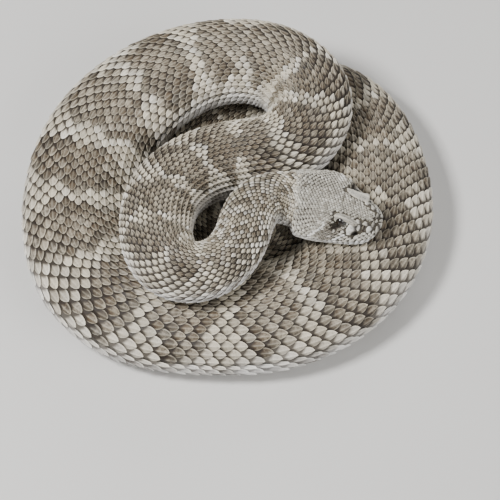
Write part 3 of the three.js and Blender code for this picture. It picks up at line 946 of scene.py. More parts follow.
def away_from(hole, back, turn):
    """How far places are from the middle of a hole, in its own half sizes."""
    return np.hypot((back - hole[0]) / hole[2], (turn - hole[1]) / hole[3])


def hole_shade(back, turn):
    """1 inside the nostrils and heat pits, 0 elsewhere."""
    return np.maximum(*(1 - smoothstep(0.8, 1.3, away_from(hole, back, turn)) for hole in HOLES))


def head_markings(d, turn):
    """The masks of the head: dark cheek band between two pale stripes, pale lips and snout, with
    painted shade in the holes and eye sockets.
    """
    back = np.asarray(d, float)
    turn = np.minimum(np.mod(turn, 1.0), np.mod(-turn, 1.0))
    wander = soft_noise(back / 0.003, turn * 30, 11) - 0.5
    fine = soft_noise(back / 0.0016, turn * 60, 12)
    front, rear = (
        place + lean * np.maximum(turn - start, 0)
        for place, lean, start in (BAND_FRONT, BAND_REAR))
    at = back + 0.0016 * wander
    beside = smoothstep(*BAND_TOP, turn + 0.01 * wander) * (1 - smoothstep(*BAND_BOTTOM, turn))
    band = smoothstep(*BAND_EDGE, at - front) * smoothstep(*BAND_EDGE, rear - at) * beside
    stripes = beside * (
        between(STRIPE_NEAR, STRIPE_FAR_FRONT, front - at)
        + between(STRIPE_NEAR, STRIPE_FAR_REAR, at - rear))
    lips = smoothstep(0.25, 0.275, turn + 0.01 * wander)
    snout = (1 - smoothstep(0.009, 0.014, back)) * smoothstep(0.10, 0.13, turn)
    holes = hole_shade(back, turn)
    # Below the brow's edge the socket is darkened, partly as dark skin and partly as painted shade
    # under the brow plate.
    socket = 1 - smoothstep(0.65, 1.0, away_from(SOCKET_HOLE, back, turn))
    socket = socket * smoothstep(-0.018, -0.004, turn - EYE_TURN)
    blotch = (0.25 * band + 0.12) * (1 - 0.6 * lips)
    dark = np.maximum(band * (0.58 + 0.40 * smoothstep(0.4, 0.8, fine)), holes)
    dark = np.maximum(dark, 0.95 * socket)
    white = np.clip(0.14 + 0.75 * stripes + 0.65 * lips * (1 - band) + 0.3 * snout, 0, 1)
    white = white * (1 - holes) * (1 - 0.8 * band)
    flank = 0.6 * lips + 0.3 * smoothstep(0.33, 0.42, turn)
    own = np.stack([blotch, dark, white, flank], axis=-1)
    return lerp(own, markings(d, turn * 2), smoothstep(*HEAD_MARKS_END, back)[..., None])

# Plates of the head: distance behind the snout tip, turn, length and width in metres, twist,
# then how pale and how brown they are. Each lies on both sides, the first two in the middle.
MIDDLE_PLATES = (
    (0.0, 0.170, 0.0034, 0.0046, 0.0, 0.35, 0.1),  # rostral
    (0.0, 0.350, 0.0062, 0.0036, 0.0, 0.45, 0.1),  # mental
)
SIDE_PLATES = (
    (0.0005, 0.175, 0.0030, 0.0044, 0.0, 0.30, 0.15),  # beside the rostral
    (0.0033, 0.124, 0.0042, 0.0036, 0.0, 0.70, 0.05),  # prenasal
    (0.0083, 0.122, 0.0023, 0.0038, 0.0, 0.60, 0.05),  # postnasal
    (0.0063, 0.121, 0.0017, 0.0036, 0.0, 0.00, 1.0),  # nostril: a dark plate, painted shade for the opening
    (0.0113, 0.146, 0.0054, 0.0056, 0.0, 0.72, 0.0),  # preocular
    (0.0020, 0.062, 0.0026, 0.0026, 0.0, 0.15, 0.2),  # internasal
    (0.0056, 0.077, 0.0036, 0.0024, 0.0, 0.30, 0.1),  # canthals
    (0.0094, 0.083, 0.0038, 0.0026, 0.0, 0.40, 0.1),
)
# Rows of plates along the lips and the chin: from, to, how many, and between which turns.
PLATE_ROWS = (
    (0.0003, JAW_END, 16, LABIAL_TURNS),
    (0.0006, JAW_END + 0.001, 17, LOWER_LABIAL_TURNS),
    (0.0010, JAW_END, 12, CHIN_TURNS[0]),
    (0.0010, JAW_END + 0.002, 13, CHIN_TURNS[1]),
)
# Lift of a plate of no size, and how much higher it stands for its smaller side.
PLATE_LIFT, PLATE_SWELL = 0.00020, 0.05
# How much the plates of a row reach over each other.
EDGE_OVERLAP = 1.05
# Scales round the eye: their angles, from the rear over the lip side, and length and width.
EYE_RING_ANGLES = np.arange(-20, 201, 22)
EYE_RING_SIZE = (0.0017, 0.0015)
# Place of the brow plates along their form layer, where the finish paints neither the shade at a
# root nor the highlight at a tip.
BROW_ALONG = 0.75
# Turn of the head whose markings the brow plates take.
BROW_TURN = 0.05


def footprint(d, turn, plates, margin):
    """Whether places on the head lie under any of the plates grown by a margin."""
    plates = np.array(plates)
    stretch, spread = spans(run_of(plates[:, 0]), plates[:, 1])
    along = (run_of(d)[:, None] - run_of(plates[:, 0])) * stretch
    across = (turn[:, None] - plates[:, 1]) * spread
    twist = plates[:, 4]
    u = (along * np.cos(twist) + across * np.sin(twist)) / ((plates[:, 2] + margin) / 2)
    v = (across * np.cos(twist) - along * np.sin(twist)) / ((plates[:, 3] + margin) / 2)
    return ((np.abs(u)**3 + np.abs(v)**3) < 1).any(axis=1)


def both_sides(plates):
    """The plates and their mirror images."""
    plates = np.array(plates)
    return np.concatenate([plates, plates * (1, -1, 1, 1, -1, 1, 1)])


def eye_ring():
    """The small scales round each eye, but for those under the brow plates."""
    angle = np.radians(EYE_RING_ANGLES)
    reach = EYE_RADIUS + EYE_MARGIN
    stretch, spread = spans(run_of(EYE[0]), EYE_TURN)
    turn = EYE_TURN + reach * np.sin(angle) / spread
    d = unfold(run_of(EYE[0]) + reach * np.cos(angle) / stretch, turn)[0]
    # Scales not in front are painted fully dark, partly the dark band through the eye and partly
    # painted shade beneath the brow plate.
    in_front = np.cos(angle) < -0.5
    return np.stack(np.broadcast_arrays(
        d, turn, *EYE_RING_SIZE, angle, np.where(in_front, 0.5, 0), np.where(in_front, 0.1, 1),
    ), axis=1)


def brow_plate(u, v, under, sign):
    """Points of a brow plate at shares from front to back and from inner to outer edge."""
    lines = np.array(BROW_LINES)
    rows = Spline(np.linspace(0, 1, lines.shape[1]), lines.transpose(1, 0, 2).reshape(-1, 9))(u)
    inner, crest, outer = rows[:, 0:3], rows[:, 3:6], rows[:, 6:9]
    v = v[:, None]
    place = inner * v * (v - 1) / 2 + crest * (1 - v * v) + outer * v * (v + 1) / 2
    centre, _, side, up = frames(place[:, 0])
    height = place[:, 2] - under * lerp(*BROW_THICKNESS, smoothstep(0.1, 0.45, u))
    return centre + side * sign * place[:, 1:2] + up * height[:, None]


def over_brow(points):
    """Whether points lie where the brow plates go."""
    found = np.zeros(points.shape[:-1], bool)
    for sign in (-1, 1):
        u, v = (part.ravel() for part in np.meshgrid(np.linspace(0.08, 0.92, 12), (-0.6, 0, 0.6)))
        for place in brow_plate(u, v, 0, sign):
            found |= np.linalg.norm(points - place, axis=-1) < BROW_MARGIN
    return found


def crown_growth(d):
    """How much broader the crown's scales get towards the neck."""
    return lerp(1, BROADER, smoothstep(*BROADER_FROM, d))


def crown_places():
    """Distances and turns of a whole cover of crown scales, row by row from the snout."""
    places = []
    run = run_of(CROWN_START)
    while run < run_of(CROWN_END):
        d = unfold(run, 0)[0]
        half = half_girth(d)
        spacing = CROWN_SPACING * crown_growth(d)
        count = int(half * CROWN_COVER / spacing)
        steps = np.arange(-count, count + 1)
        turn = turns_at_shares(d, steps * spacing / half)
        places.append((unfold(run + np.where(steps % 2, CROWN_PITCH / 2, 0), turn)[0], turn))
        run += CROWN_PITCH * lerp(1, LONGER, smoothstep(*LONGER_FROM, d))
    return np.concatenate(places, axis=1)


def free_of_plates(d, turn):
    """Whether places on the head are clear of its eyes, holes and plates."""
    out = np.abs(turn)
    stretch, spread = spans(run_of(EYE[0]), EYE_TURN)
    below_eye = (out - EYE_TURN) * spread
    from_eye = np.hypot((run_of(d) - run_of(EYE[0])) * stretch, below_eye)
    plates = np.concatenate([both_sides(SIDE_PLATES), MIDDLE_PLATES])
    return (
        (out < LABIAL_TURNS[0] - LIP_MARGIN)
        & ((from_eye > EYE_RADIUS + EYE_MARGIN) | (below_eye < -UNDER_BROW))
        & ~over_brow(surface(d, turn))
        & (hole_shade(d, out) < 0.01)
        & ~footprint(d, turn, plates, PLATE_MARGIN)
    )


def make_crown_scales(shape, material):
    """The small keeled scales of the crown, temples and cheeks."""
    random = np.random.default_rng(CROWN_SEED)
    d, turn = crown_places()
    d = d + CROWN_JITTER * (random.random(len(d)) - 0.5)
    free = free_of_plates(d, turn)
    d, turn = d[free], turn[free]
    count = len(d)
    on_cheek = smoothstep(0.10, 0.17, np.abs(turn))
    length = CROWN_PITCH * lerp(1.36, 1.50, on_cheek) * (0.92 + 0.16 * random.random(count))
    width = CROWN_SPACING * lerp(1.26, 1.40, on_cheek) * crown_growth(d)
    points = lay(
        shape, d, turn, length, width, CROWN_LIFT, dome=0.55, keel=0.35, thickness=0.5, firm=True)
    marks = head_markings(d, turn)
    for mask, strength, chosen in ((DARK, 0.9, 0.12), (WHITE, 0.5, 0.20)):
        marks[:, mask] = np.maximum(marks[:, mask], strength * (random.random(count) < chosen))
    coat_piece(
        "crown_scales", shape, points, marks, random.random(count),
        bake_places(d, turn, 0, HEAD_LENGTH), material, 45)


def plates_between(low, high, count, turns):
    """A row of plates edge to edge between two turns, which keep the markings of the head."""
    ends = unfold(np.linspace(run_of(low), run_of(high), count + 1), 0)[0]
    d = (ends[1:] + ends[:-1]) / 2
    turn = sum(turns) / 2
    stretch, spread = spans(run_of(d), turn)
    return np.stack(np.broadcast_arrays(
        d, turn, np.diff(run_of(ends)) * stretch * EDGE_OVERLAP,
        (turns[1] - turns[0]) * spread * EDGE_OVERLAP, 0, -1, 0), axis=1)


def make_head_plates(shape, material):
    """Plates along the lips and chin, round the nostrils, pits and eyes and at the snout."""
    on_one_side = np.concatenate(
        [SIDE_PLATES, eye_ring(), *(plates_between(*row) for row in PLATE_ROWS)])
    rows = np.concatenate([both_sides(on_one_side), MIDDLE_PLATES])
    d, turn, length, width, twist, pale, brown = rows.T
    points = lay(
        shape, d, turn, length, width, PLATE_LIFT + PLATE_SWELL * np.minimum(length, width),
        dome=1.0, keel=0.0, thickness=0.9, firm=True, twist=twist)
    marks = head_markings(d, turn)
    own = pale >= 0
    # A brownness of 1 paints a plate fully dark: painted shade for the nostril's opening, and
    # round the eye partly the dark band, partly painted shade.
    marks[own, :3] = np.stack([brown, brown >= 1, pale], axis=1)[own]
    coat_piece(
        "head_plates", shape, points, marks, hash_noise(np.arange(len(d)), 3),
        bake_places(d, turn, 0, HEAD_LENGTH), material, 45)


def make_brow_plates(shape, material):
    """The large plate that overhangs each eye."""
    under = shape.parts[3]
    points = np.array(
        [brow_plate(shape.along, shape.across, under, sign) for sign in (-1, 1)])
    shape.form[:, ALONG] = BROW_ALONG
    d = np.full(2, EYE[0])
    coat_piece(
        "brow_plates", shape, points, head_markings(d, BROW_TURN), np.array([0.4, 0.6]),
        bake_places(d, np.array([-0.08, 0.08]), 0, HEAD_LENGTH), material, 60)


def make_eyes(material, radius):
    """A ball for each eye, with a layer that says how far forward, up and out it is."""
    for name, sign in (("eye_ball_left", 1), ("eye_ball_right", -1)):
        middle = head_point(EYE[0], EYE[1] * sign, EYE[2])
        _, along, side, up = (row[0] for row in frames(np.array([EYE[0]])))
        out = side * sign
        ball = added(
            bpy.ops.mesh.primitive_uv_sphere_add, name, segments=48, ring_count=32, radius=radius)
        basis = Matrix([out, along, np.cross(out, along)]).transposed().to_4x4()
        turned = basis @ Matrix.Rotation(math.pi / 2, 4, "Y")
        ball.data.transform(Matrix.Translation(Vector(middle)) @ turned)
        iris = ball.data.attributes.new("iris", "FLOAT_COLOR", "POINT")
        for vertex, place in zip(ball.data.vertices, iris.data):
            gap = (np.array(vertex.co) - middle) / radius
            place.color = gap @ along / 2 + 0.5, gap @ up / 2 + 0.5, max(0.0, gap @ out), 1.0
        finish_piece(ball, material, 180)
        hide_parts("eye_left" if sign > 0 else "eye_right")


# Rattle


RATTLE_SEGMENTS = 7
RATTLE_PITCH = 0.0039
# Size of the last segment, width for its height, and depth and sharpness of the side grooves.
RATTLE_LAST = 0.72
RATTLE_FLATNESS = 0.82
GROOVE_DEPTH, GROOVE_SHARPNESS = 0.20, 14
# Distance of the first segment from the skin's end.
RATTLE_GAP = 0.0002
# One segment: share of the pitch, share of the full size.
RATTLE_PROFILE = (
    (-0.10, 0.60), (0.02, 0.76), (0.10, 0.92), (0.22, 1.08), (0.36, 1.13), (0.50, 1.09),
    (0.60, 0.99), (0.66, 0.93), (0.74, 0.955), (0.84, 0.95), (0.94, 0.86), (1.02, 0.70),
)


def model_segment():
    """One horny segment of the rattle, modelled along Z: rings drawn out and sized in turn."""
    start, size = RATTLE_PROFILE[0]
    segment = added(
        bpy.ops.mesh.primitive_circle_add, "rattle_segment", vertices=40, radius=size,
        fill_type="NGON")
    with all_in_edit_mode():
        for (low, size), (high, next_size) in zip(RATTLE_PROFILE, RATTLE_PROFILE[1:]):
            bpy.ops.mesh.extrude_region_move(
                TRANSFORM_OT_translate={"value": (0, 0, high - low)})
            bpy.ops.transform.resize(value=(next_size / size, next_size / size, 1))
    points, faces = taken_apart(segment)
    return points + (0, 0, start), faces


def make_rattle(material, segments):
    """The rattle: the segment copied down the line, each copy a little smaller."""
    model, faces = model_segment()
    wide, high = girth(TAIL_END)
    pitch = RATTLE_PITCH * RATTLE_SEGMENTS / segments
    radial = np.hypot(model[:, 0], model[:, 1])
    angle = np.arctan2(model[:, 0], model[:, 1])
    groove = 1 - GROOVE_DEPTH * np.abs(np.sin(angle))**GROOVE_SHARPNESS
    points, form = [], []
    for k in range(segments):
        size = lerp(1.0, RATTLE_LAST, k / max(segments - 1, 1))
        centre, _, side, up = frames(TAIL_END + (k + model[:, 2]) * pitch + RATTLE_GAP)
        across = np.sin(angle) * radial * wide * RATTLE_FLATNESS * size * groove
        above = np.cos(angle) * radial * high * size
        copy = centre + side * across[:, None] + up * above[:, None]
        copy[:, 2] += high * size - centre[:, 2] + SCALE_FLOOR_GAP
        copy[:, 2] = np.maximum(copy[:, 2], SCALE_FLOOR_GAP)
        points.append(copy)
        form.append(np.stack(np.broadcast_arrays(
            model[:, 2], k / segments, hash_noise(k, 3), radial), axis=1))
    corners, counts = flat_faces(faces)
    corners = np.concatenate([corners + k * len(model) for k in range(segments)])
    rattle = new_piece(
        "rattle_horn", np.concatenate(points), corners, np.tile(counts, segments),
        form=np.concatenate(form))
    finish_piece(rattle, material, 50)
    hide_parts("rattle")


# Finishes


# Noises of the finishes: hills for each metre, detail and roughness.
CLOUDS, PATCHES, MOTTLE = (140.0, 3.0), (170.0, 3.0, 0.6), (420.0, 3.0, 0.6)
DOTS, DUST, GLOSS, GRAIN = (1100.0, 3.0, 0.65), (2800.0, 2.0, 0.6), (900.0,), (2600.0, 2.0)
SKIN_GRAIN, IRIS_FLECKS, HORN_STREAKS = (2200.0, 3.0), (2600.0, 3.0, 0.7), (900.0, 3.0)
FLOOR_CLOUDS = (6.0, 1.0)
# Coats: strength of the specks and of the painted highlight on the tips; of the pale rims, partly
# painted highlight, and how much stronger on the flanks; where along a scale its tip starts and is
# full; where the painted shade at its root, under the tip in front, ends, and how dark it is.
BACK_COAT = {
    "speckle": 1.0, "tip_highlight": 0.16, "rims": (0.40, 0.42), "tips": (0.42, 0.90),
    "root_shade_span": (0.26, 0.50), "painted_root_shade": 0.94,
}
PLATE_COAT = {**BACK_COAT, "speckle": 0.4}
# The head's coat paints the shade at the roots too, but no highlight on the tips.
HEAD_COAT = {
    "speckle": 1.7, "tip_highlight": 0.0, "rims": (0.26, 0.10), "tips": (-0.3, 0.1),
    "root_shade_span": (0.14, 0.54), "painted_root_shade": 0.92,
}
# Painted shade on the skin between the scales: its colour as a share of theirs.
SKIN_SHADE = 0.25
# How much the tone of a scale and of a rattle segment varies by chance.
SCALE_TONES, HORN_TONES = 0.36, 0.2
# How narrow and how low the pupil is.
PUPIL_NARROW, PUPIL_LOW = 30.0, 2.4
PUPIL_COLOUR = (0.004, 0.004, 0.004, 1.0)
FLOOR_COLOURS = ((0.62, 0.61, 0.59, 1.0), (0.66, 0.65, 0.63, 1.0))


# Sockets of the mix node that take and give colours.
MIX_FIRST, MIX_SECOND, MIX_OUT = 6, 7, 2


def math_method(operation, swapped=False):
    """A method that joins a value with another, or with a number, by a maths node."""

    def method(self, other):
        node = self.tree.nodes.new("ShaderNodeMath")
        node.operation = operation
        for socket, item in zip(node.inputs, (other, self) if swapped else (self, other)):
            fill(self.tree, socket, item)
        return Value(self.tree, node.outputs[0])

    return method


class Value:
    """A node socket that can be used in arithmetic."""

    def __init__(self, tree, socket):
        self.tree, self.socket = tree, socket

    __add__ = math_method("ADD")
    __sub__ = math_method("SUBTRACT")
    __rsub__ = math_method("SUBTRACT", swapped=True)
    __mul__ = math_method("MULTIPLY")
    most = math_method("MAXIMUM")
    least = math_method("MINIMUM")


def fill(tree, socket, item):
    """Links a value to a socket, or sets the socket to a number or a colour."""
    if isinstance(item, Value):
        tree.links.new(item.socket, socket)
    else:
        socket.default_value = item


class Finish:
    """A material and the nodes that make its colour, gloss and relief."""

    def __init__(self, name, **fixed):
        self.material = bpy.data.materials.new(name)
        self.material.use_nodes = True
        self.tree = self.material.node_tree
        self.give(**fixed)

    def give(self, **inputs):
        """Fills sockets of the material's own shader."""
        shader = self.tree.nodes["Principled BSDF"]
        for name, value in inputs.items():
            fill(self.tree, shader.inputs[name.replace("_", " ")], value)

    def node(self, kind, inputs, out=0, **settings):
        """One output of a new node, by its type, what fills its sockets, and its settings."""
        node = self.tree.nodes.new(kind)
        for key, value in settings.items():
            setattr(node, key, value)
        for key, value in inputs.items():
            fill(self.tree, node.inputs[key], value)
        return Value(self.tree, node.outputs[out])

    def mix(self, share, first, second, blend="MIX"):
        """A colour between two, by a share."""
        return self.node(
            "ShaderNodeMix", {0: share, MIX_FIRST: first, MIX_SECOND: second}, MIX_OUT,
            data_type="RGBA", blend_type=blend)

    def step(self, value, low, high):
        """A smooth rise from 0 to 1 between two values."""
        return self.node(
            "ShaderNodeMapRange", {"Value": value, "From Min": low, "From Max": high},
            interpolation_type="SMOOTHSTEP")

    def noise(self, scale, detail=2.0, rough=0.5):
        """Soft noise at so many hills for each metre."""
        place = self.node("ShaderNodeTexCoord", {}, "Object")
        return self.node("ShaderNodeTexNoise", {
            "Vector": place, "Scale": scale, "Detail": detail, "Roughness": rough})

    def layer(self, name):
        """The four numbers of a colour layer: red, green, blue and alpha."""
        node = self.tree.nodes.new("ShaderNodeAttribute")
        node.attribute_name = name
        parts = self.tree.nodes.new("ShaderNodeSeparateColor")
        self.tree.links.new(node.outputs["Color"], parts.inputs[0])
        return [Value(self.tree, part) for part in (*parts.outputs, node.outputs["Alpha"])]

    def toned(self, colour, chance, spread):
        """A colour made lighter or darker by chance."""
        tone = chance * spread + (1 - spread / 2)
        grey = self.node("ShaderNodeCombineColor", {"Red": tone, "Green": tone, "Blue": tone})
        return self.mix(1.0, colour, grey, "MULTIPLY")

    def relief(self, height, distance, strength):
        """A bump that feeds the shader's normal."""
        self.give(Normal=self.node(
            "ShaderNodeBump", {"Height": height, "Distance": distance, "Strength": strength}))


def tinted(colour, share=1.0):
    """A colour made lighter or darker, with an alpha of 1."""
    return (*(part * share for part in colour), 1.0)


def patterned(finish, colours, ground, shade=1.0):
    """Colour of the coat from its masks, and the blotch, white and flank masks."""
    blotch, dark, white, flank = finish.layer("marks")
    cloudy = finish.step(finish.noise(*CLOUDS), 0.35, 0.65)
    colour = finish.mix(cloudy, tinted(ground, 0.90 * shade), tinted(ground, 1.08 * shade))
    colour = finish.mix(flank, colour, tinted(colours.flank, shade))
    mottle = finish.step(finish.noise(*MOTTLE), 0.32, 0.62)
    patches = finish.step(finish.noise(*PATCHES), 0.38, 0.60) * 0.40 + 0.80
    covered = (blotch * patches * (mottle * 0.55 + 0.75)).least(1.0)
    colour = finish.mix(covered, colour, tinted(colours.blotch, shade))
    return finish.mix(dark * mottle, colour, tinted(colours.dark, shade)), blotch, white, flank


def coat_finish(name, colours, ground, speckle, tip_highlight, rims, tips, root_shade_span, painted_root_shade):
    """Finish of the scales: patterned and speckled, with painted highlights and painted shade at
    the roots.
    """
    finish = Finish(name, Specular_IOR_Level=0.35)
    along, rim, chance, ridge = finish.layer("form")
    colour, blotch, white, flank = patterned(finish, colours, ground)
    cream = finish.mix(flank.most(white), tinted(colours.cream), tinted(colours.white))
    # Pale tips: a painted highlight on every raised tip, and the scales' own white tips on the
    # white marks.
    tip = finish.step(along, *tips)
    pale = (tip * tip_highlight * (1 - blotch * 0.5)).most((tip * 0.75 + 0.25) * white * 0.80)
    colour = finish.mix(pale, colour, cream)
    # Dark specks inside the rim, fewest on the flanks.
    dots = finish.step(finish.noise(*DOTS), 0.50, 0.64)
    dust = finish.step(finish.noise(*DUST), 0.48, 0.66)
    inside = 1 - finish.step(rim, 0.75, 0.95)
    plain = (1 - white * 0.5) * (1 - flank * 0.6) * (blotch * 0.5 + 0.5)
    specks = (dots * 0.7).most(dust * 0.4) * inside * speckle * plain
    colour = finish.mix(specks, colour, tinted(colours.dark, 1.2))
    # A painted highlight along the keel, and painted shade at the root under the tip of the scale
    # in front.
    lit = ridge * 0.34 * (1 - blotch * 0.45) * finish.step(along, 0.2, 0.5)
    colour = finish.mix(lit, colour, cream)
    root = (1 - finish.step(along - rim * 0.22, *root_shade_span)) * (1 - flank * 0.5) * painted_root_shade
    colour = finish.mix(root, colour, tinted(colours.dark))
    # A pale rim, partly the scale's own pale edge, strongest on the flanks and white marks, partly
    # a painted highlight on its raised edge.
    edge = finish.step(rim, 0.70, 0.92) * finish.step(along, 0.42, 0.64)
    pale_edge_and_highlight = edge * (flank.most(white) * rims[1] + rims[0]) * (1 - blotch * 0.45)
    colour = finish.toned(finish.mix(pale_edge_and_highlight, colour, cream), chance, SCALE_TONES)
    finish.give(Base_Color=colour, Roughness=finish.noise(*GLOSS) * 0.25 + 0.46)
    finish.relief(finish.noise(*GRAIN) * 0.6 + dust * -0.4, 0.00006, 0.6)
    return finish.material


def skin_finish(colours):
    """Finish of the bare skin between the scales: the same pattern, darkened by painted shade, and
    matt.
    """
    finish = Finish("bare_skin", Specular_IOR_Level=0.2)
    colour = patterned(finish, colours, colours.ground, SKIN_SHADE)[0]
    grain = finish.noise(*SKIN_GRAIN)
    colour = finish.mix(finish.step(grain, 0.35, 0.7) * 0.5, colour, tinted(colours.dark, 0.6))
    finish.give(Base_Color=colour, Roughness=grain * 0.2 + 0.65)
    finish.relief(grain, 0.0001, 0.5)
    return finish.material


def eye_finish(colours):
    """Finish of the eye: bronze iris, upright slit pupil, wet gloss."""
    finish = Finish("eye", Coat_IOR=1.4, Specular_IOR_Level=0.5)
    along, up, out, _ = finish.layer("iris")
    side, rise = (along - 0.5) * 2.0, (up - 0.5) * 2.0
    side, rise = side * side, rise * rise
    flecks = finish.step(finish.noise(*IRIS_FLECKS), 0.4, 0.65)
    colour = finish.mix(flecks, tinted(colours.iris, 0.55), tinted(colours.iris, 1.25))
    colour = finish.mix(finish.step(side + rise, 0.32, 0.55), colour, tinted(colours.dark, 0.35))
    pupil = 1 - finish.step(side * PUPIL_NARROW + rise * PUPIL_LOW, 0.75, 1.15)
    wet = finish.step(out, 0.1, 0.4)
    finish.give(
        Base_Color=finish.mix(pupil, colour, PUPIL_COLOUR), Roughness=1 - wet * 0.92,
        Coat_Weight=wet)
    return finish.material


def horn_finish(colours):
    """Finish of the rattle: dry straw-coloured horn, with painted shade in its creases, finely
    ringed.
    """
    finish = Finish("horn", Specular_IOR_Level=0.45)
    _, order, chance, radial = finish.layer("form")
    streaks = finish.noise(*HORN_STREAKS)
    colour = finish.mix(
        finish.step(streaks, 0.35, 0.65), tinted(colours.horn, 0.75), tinted(colours.horn, 1.15))
    # Painted shade in the creases between the segments.
    crease_shade = (1 - finish.step(radial, 0.70, 0.98)) * 0.75
    colour = finish.mix(crease_shade, colour, tinted(colours.horn, 0.28))
    first = (1 - finish.step(order, 0.0, 0.25)) * 0.35
    colour = finish.mix(first, colour, tinted(colours.dark, 0.8))
    colour = finish.toned(colour, chance, HORN_TONES)
    finish.give(Base_Color=colour, Roughness=streaks * 0.25 + 0.33)
    finish.relief(streaks, 0.0002, 0.5)
    return finish.material


def floor_finish():
    """Finish of the floor: plain pale matt."""
    finish = Finish("pale_floor", Roughness=0.9, Specular_IOR_Level=0.1)
    finish.give(Base_Color=finish.mix(finish.noise(*FLOOR_CLOUDS), *FLOOR_COLOURS))
    return finish.material


# Settings, operators and panel


def colour_setting(name, what, colour):
    """The colour of something, which a user can change."""
    return FloatVectorProperty(
        name=name, description=f"Colour of {what}", default=colour, size=3, subtype="COLOR",
        min=0, max=1)


class SnakeColours(bpy.types.PropertyGroup):
    """Colours of the animal."""

    ground: colour_setting("Ground", "the back between its blotches", (0.47, 0.415, 0.32))
    head: colour_setting("Head", "the top of the head", (0.355, 0.345, 0.312))
    blotch: colour_setting("Blotches", "the blotches", (0.062, 0.036, 0.016))
    # Dark marks also paint the shade at the scales' roots, in the nostrils and heat pits and round
    # the eyes.
    dark: colour_setting("Dark marks", "specks, edges and tail bands", (0.018, 0.012, 0.008))
    # Cream, and white on the flanks and white marks, also give the painted highlights on keels,
    # rims and tips.
    cream: colour_setting("Cream rims", "the rims and keels on the back", (0.84, 0.77, 0.60))
    white: colour_setting("White marks", "blotch borders and side rims", (0.93, 0.93, 0.90))
    flank: colour_setting("Flanks", "the lower sides and the belly", (0.70, 0.68, 0.67))
    iris: colour_setting("Iris", "the iris", (0.030, 0.020, 0.012))
    horn: colour_setting("Rattle", "the horn of the rattle", (0.40, 0.29, 0.15))


class SnakeSizes(bpy.types.PropertyGroup):
    """Sizes of the animal's coat and eyes."""

    scale_lift: FloatProperty(
        name="Scale lift", description="Height of the tips of the back's scales for their pitch",
        default=0.17, min=0.05, max=0.25, subtype="FACTOR")
    scale_overlap: FloatProperty(
        name="Scale length", description="Length of the back's scales for their pitch",
        default=1.42, min=1.1, max=1.7)
    eye_radius: FloatProperty(
        name="Eye radius", description="Radius of the eyes", default=EYE_RADIUS,
        min=0.002, max=EYE_RADIUS, unit="LENGTH")
    rattle_segments: IntProperty(
        name="Rattle segments", description="How many segments the rattle has",
        default=RATTLE_SEGMENTS, min=2, max=12)


# Where the pieces of the back's and the belly's coat begin and end.
BACK_ZONES = (JAW_END, 0.150, 0.262, 0.398, 0.508, 0.636, 0.742, VENT, TAIL_END)
BELLY_ZONES = (JAW_END, 0.398, VENT, TAIL_END)
# Seed of the first piece of the back's scales; each piece after it adds one.
FIRST_SEED = 20
CROWN_SEED = 41


def zones(ends):
    """Number, start, end and slot of the pieces between the ends."""
    for k, (low, high) in enumerate(zip(ends, ends[1:])):
        yield k, low, high, "tail_skin" if low >= VENT else "body_skin"


class SNAKE_OT_skin(bpy.types.Operator):
    """Make the skin from the snout to the rattle"""

    bl_idname = "snake.skin"
    bl_label = "Skin"

    def execute(self, context):
        make_skin(skin_finish(context.scene.snake_colours))
        return {"FINISHED"}


class SNAKE_OT_back_scales(bpy.types.Operator):
    """Lay the keeled scales of the back and sides"""

    bl_idname = "snake.back_scales"
    bl_label = "Back scales"

    def execute(self, context):
        sizes, colours = context.scene.snake_sizes, context.scene.snake_colours
        material = coat_finish("scale_coat", colours, colours.ground, **BACK_COAT)
        shape = model_shape("back_scale", lance, 6, 6)
        for k, low, high, slot in zones(BACK_ZONES):
            make_back_scales(
                f"back_scales_{k + 1:02d}", low, high, shape, material, FIRST_SEED + k,
                sizes.scale_lift, sizes.scale_overlap)
        return {"FINISHED"}


class SNAKE_OT_belly_plates(bpy.types.Operator):
    """Lay the broad plates of the belly"""

    bl_idname = "snake.belly_plates"
    bl_label = "Belly plates"

    def execute(self, context):
        colours = context.scene.snake_colours
        material = coat_finish("smooth_plates", colours, colours.ground, **PLATE_COAT)
        shape = model_shape("belly_plate", block, 16, 4, even=True)
        for k, low, high, slot in zones(BELLY_ZONES):
            make_belly_plates(f"belly_plates_{k + 1:02d}", low, high, shape, material)
        return {"FINISHED"}


class SNAKE_OT_head_coat(bpy.types.Operator):
    """Lay the scales and plates of the head"""

    bl_idname = "snake.head_coat"
    bl_label = "Head scales and plates"

    def execute(self, context):
        colours = context.scene.snake_colours
        material = coat_finish("head_scales", colours, colours.head, **HEAD_COAT)
        make_crown_scales(model_shape("crown_scale", lance, 4, 5), material)
        make_head_plates(model_shape("lip_plate", block, 8, 6, even=True), material)
        make_brow_plates(model_shape("brow_plate", block, 14, 18, even=True), material)
        return {"FINISHED"}


class SNAKE_OT_eyes(bpy.types.Operator):
    """Set in the two eyes"""

    bl_idname = "snake.eyes"
    bl_label = "Eyes"

    def execute(self, context):
        scene = context.scene
        make_eyes(eye_finish(scene.snake_colours), scene.snake_sizes.eye_radius)
        return {"FINISHED"}


class SNAKE_OT_rattle(bpy.types.Operator):
    """String the segments of the rattle"""

    bl_idname = "snake.rattle"
    bl_label = "Rattle"

    def execute(self, context):
        scene = context.scene
        make_rattle(horn_finish(scene.snake_colours), scene.snake_sizes.rattle_segments)
        return {"FINISHED"}


# The camera, which keeps the photo's framing.
CAMERA_TARGET = (0.0110, -0.01435, 0.0)
CAMERA_DISTANCE = 1.3
CAMERA_ELEVATION = math.radians(60)
CAMERA_LENS, CAMERA_SENSOR = 187.2, 36
# Name, place, size and power of each light.
LIGHTS = (
    ("key_light", (-0.48, -0.22, 0.92), 0.20, 14.5),
    ("fill_light", (0.9, -0.7, 0.9), 1.0, 11.0),
    ("back_light", (0.5, 1.0, 0.8), 0.9, 5.0),
)
LIGHTS_AIM = Vector((0, 0, 0.02))
WORLD_COLOUR, WORLD_STRENGTH = (1.0, 1.0, 1.0, 1.0), 0.30
FLOOR_SIZE = 4


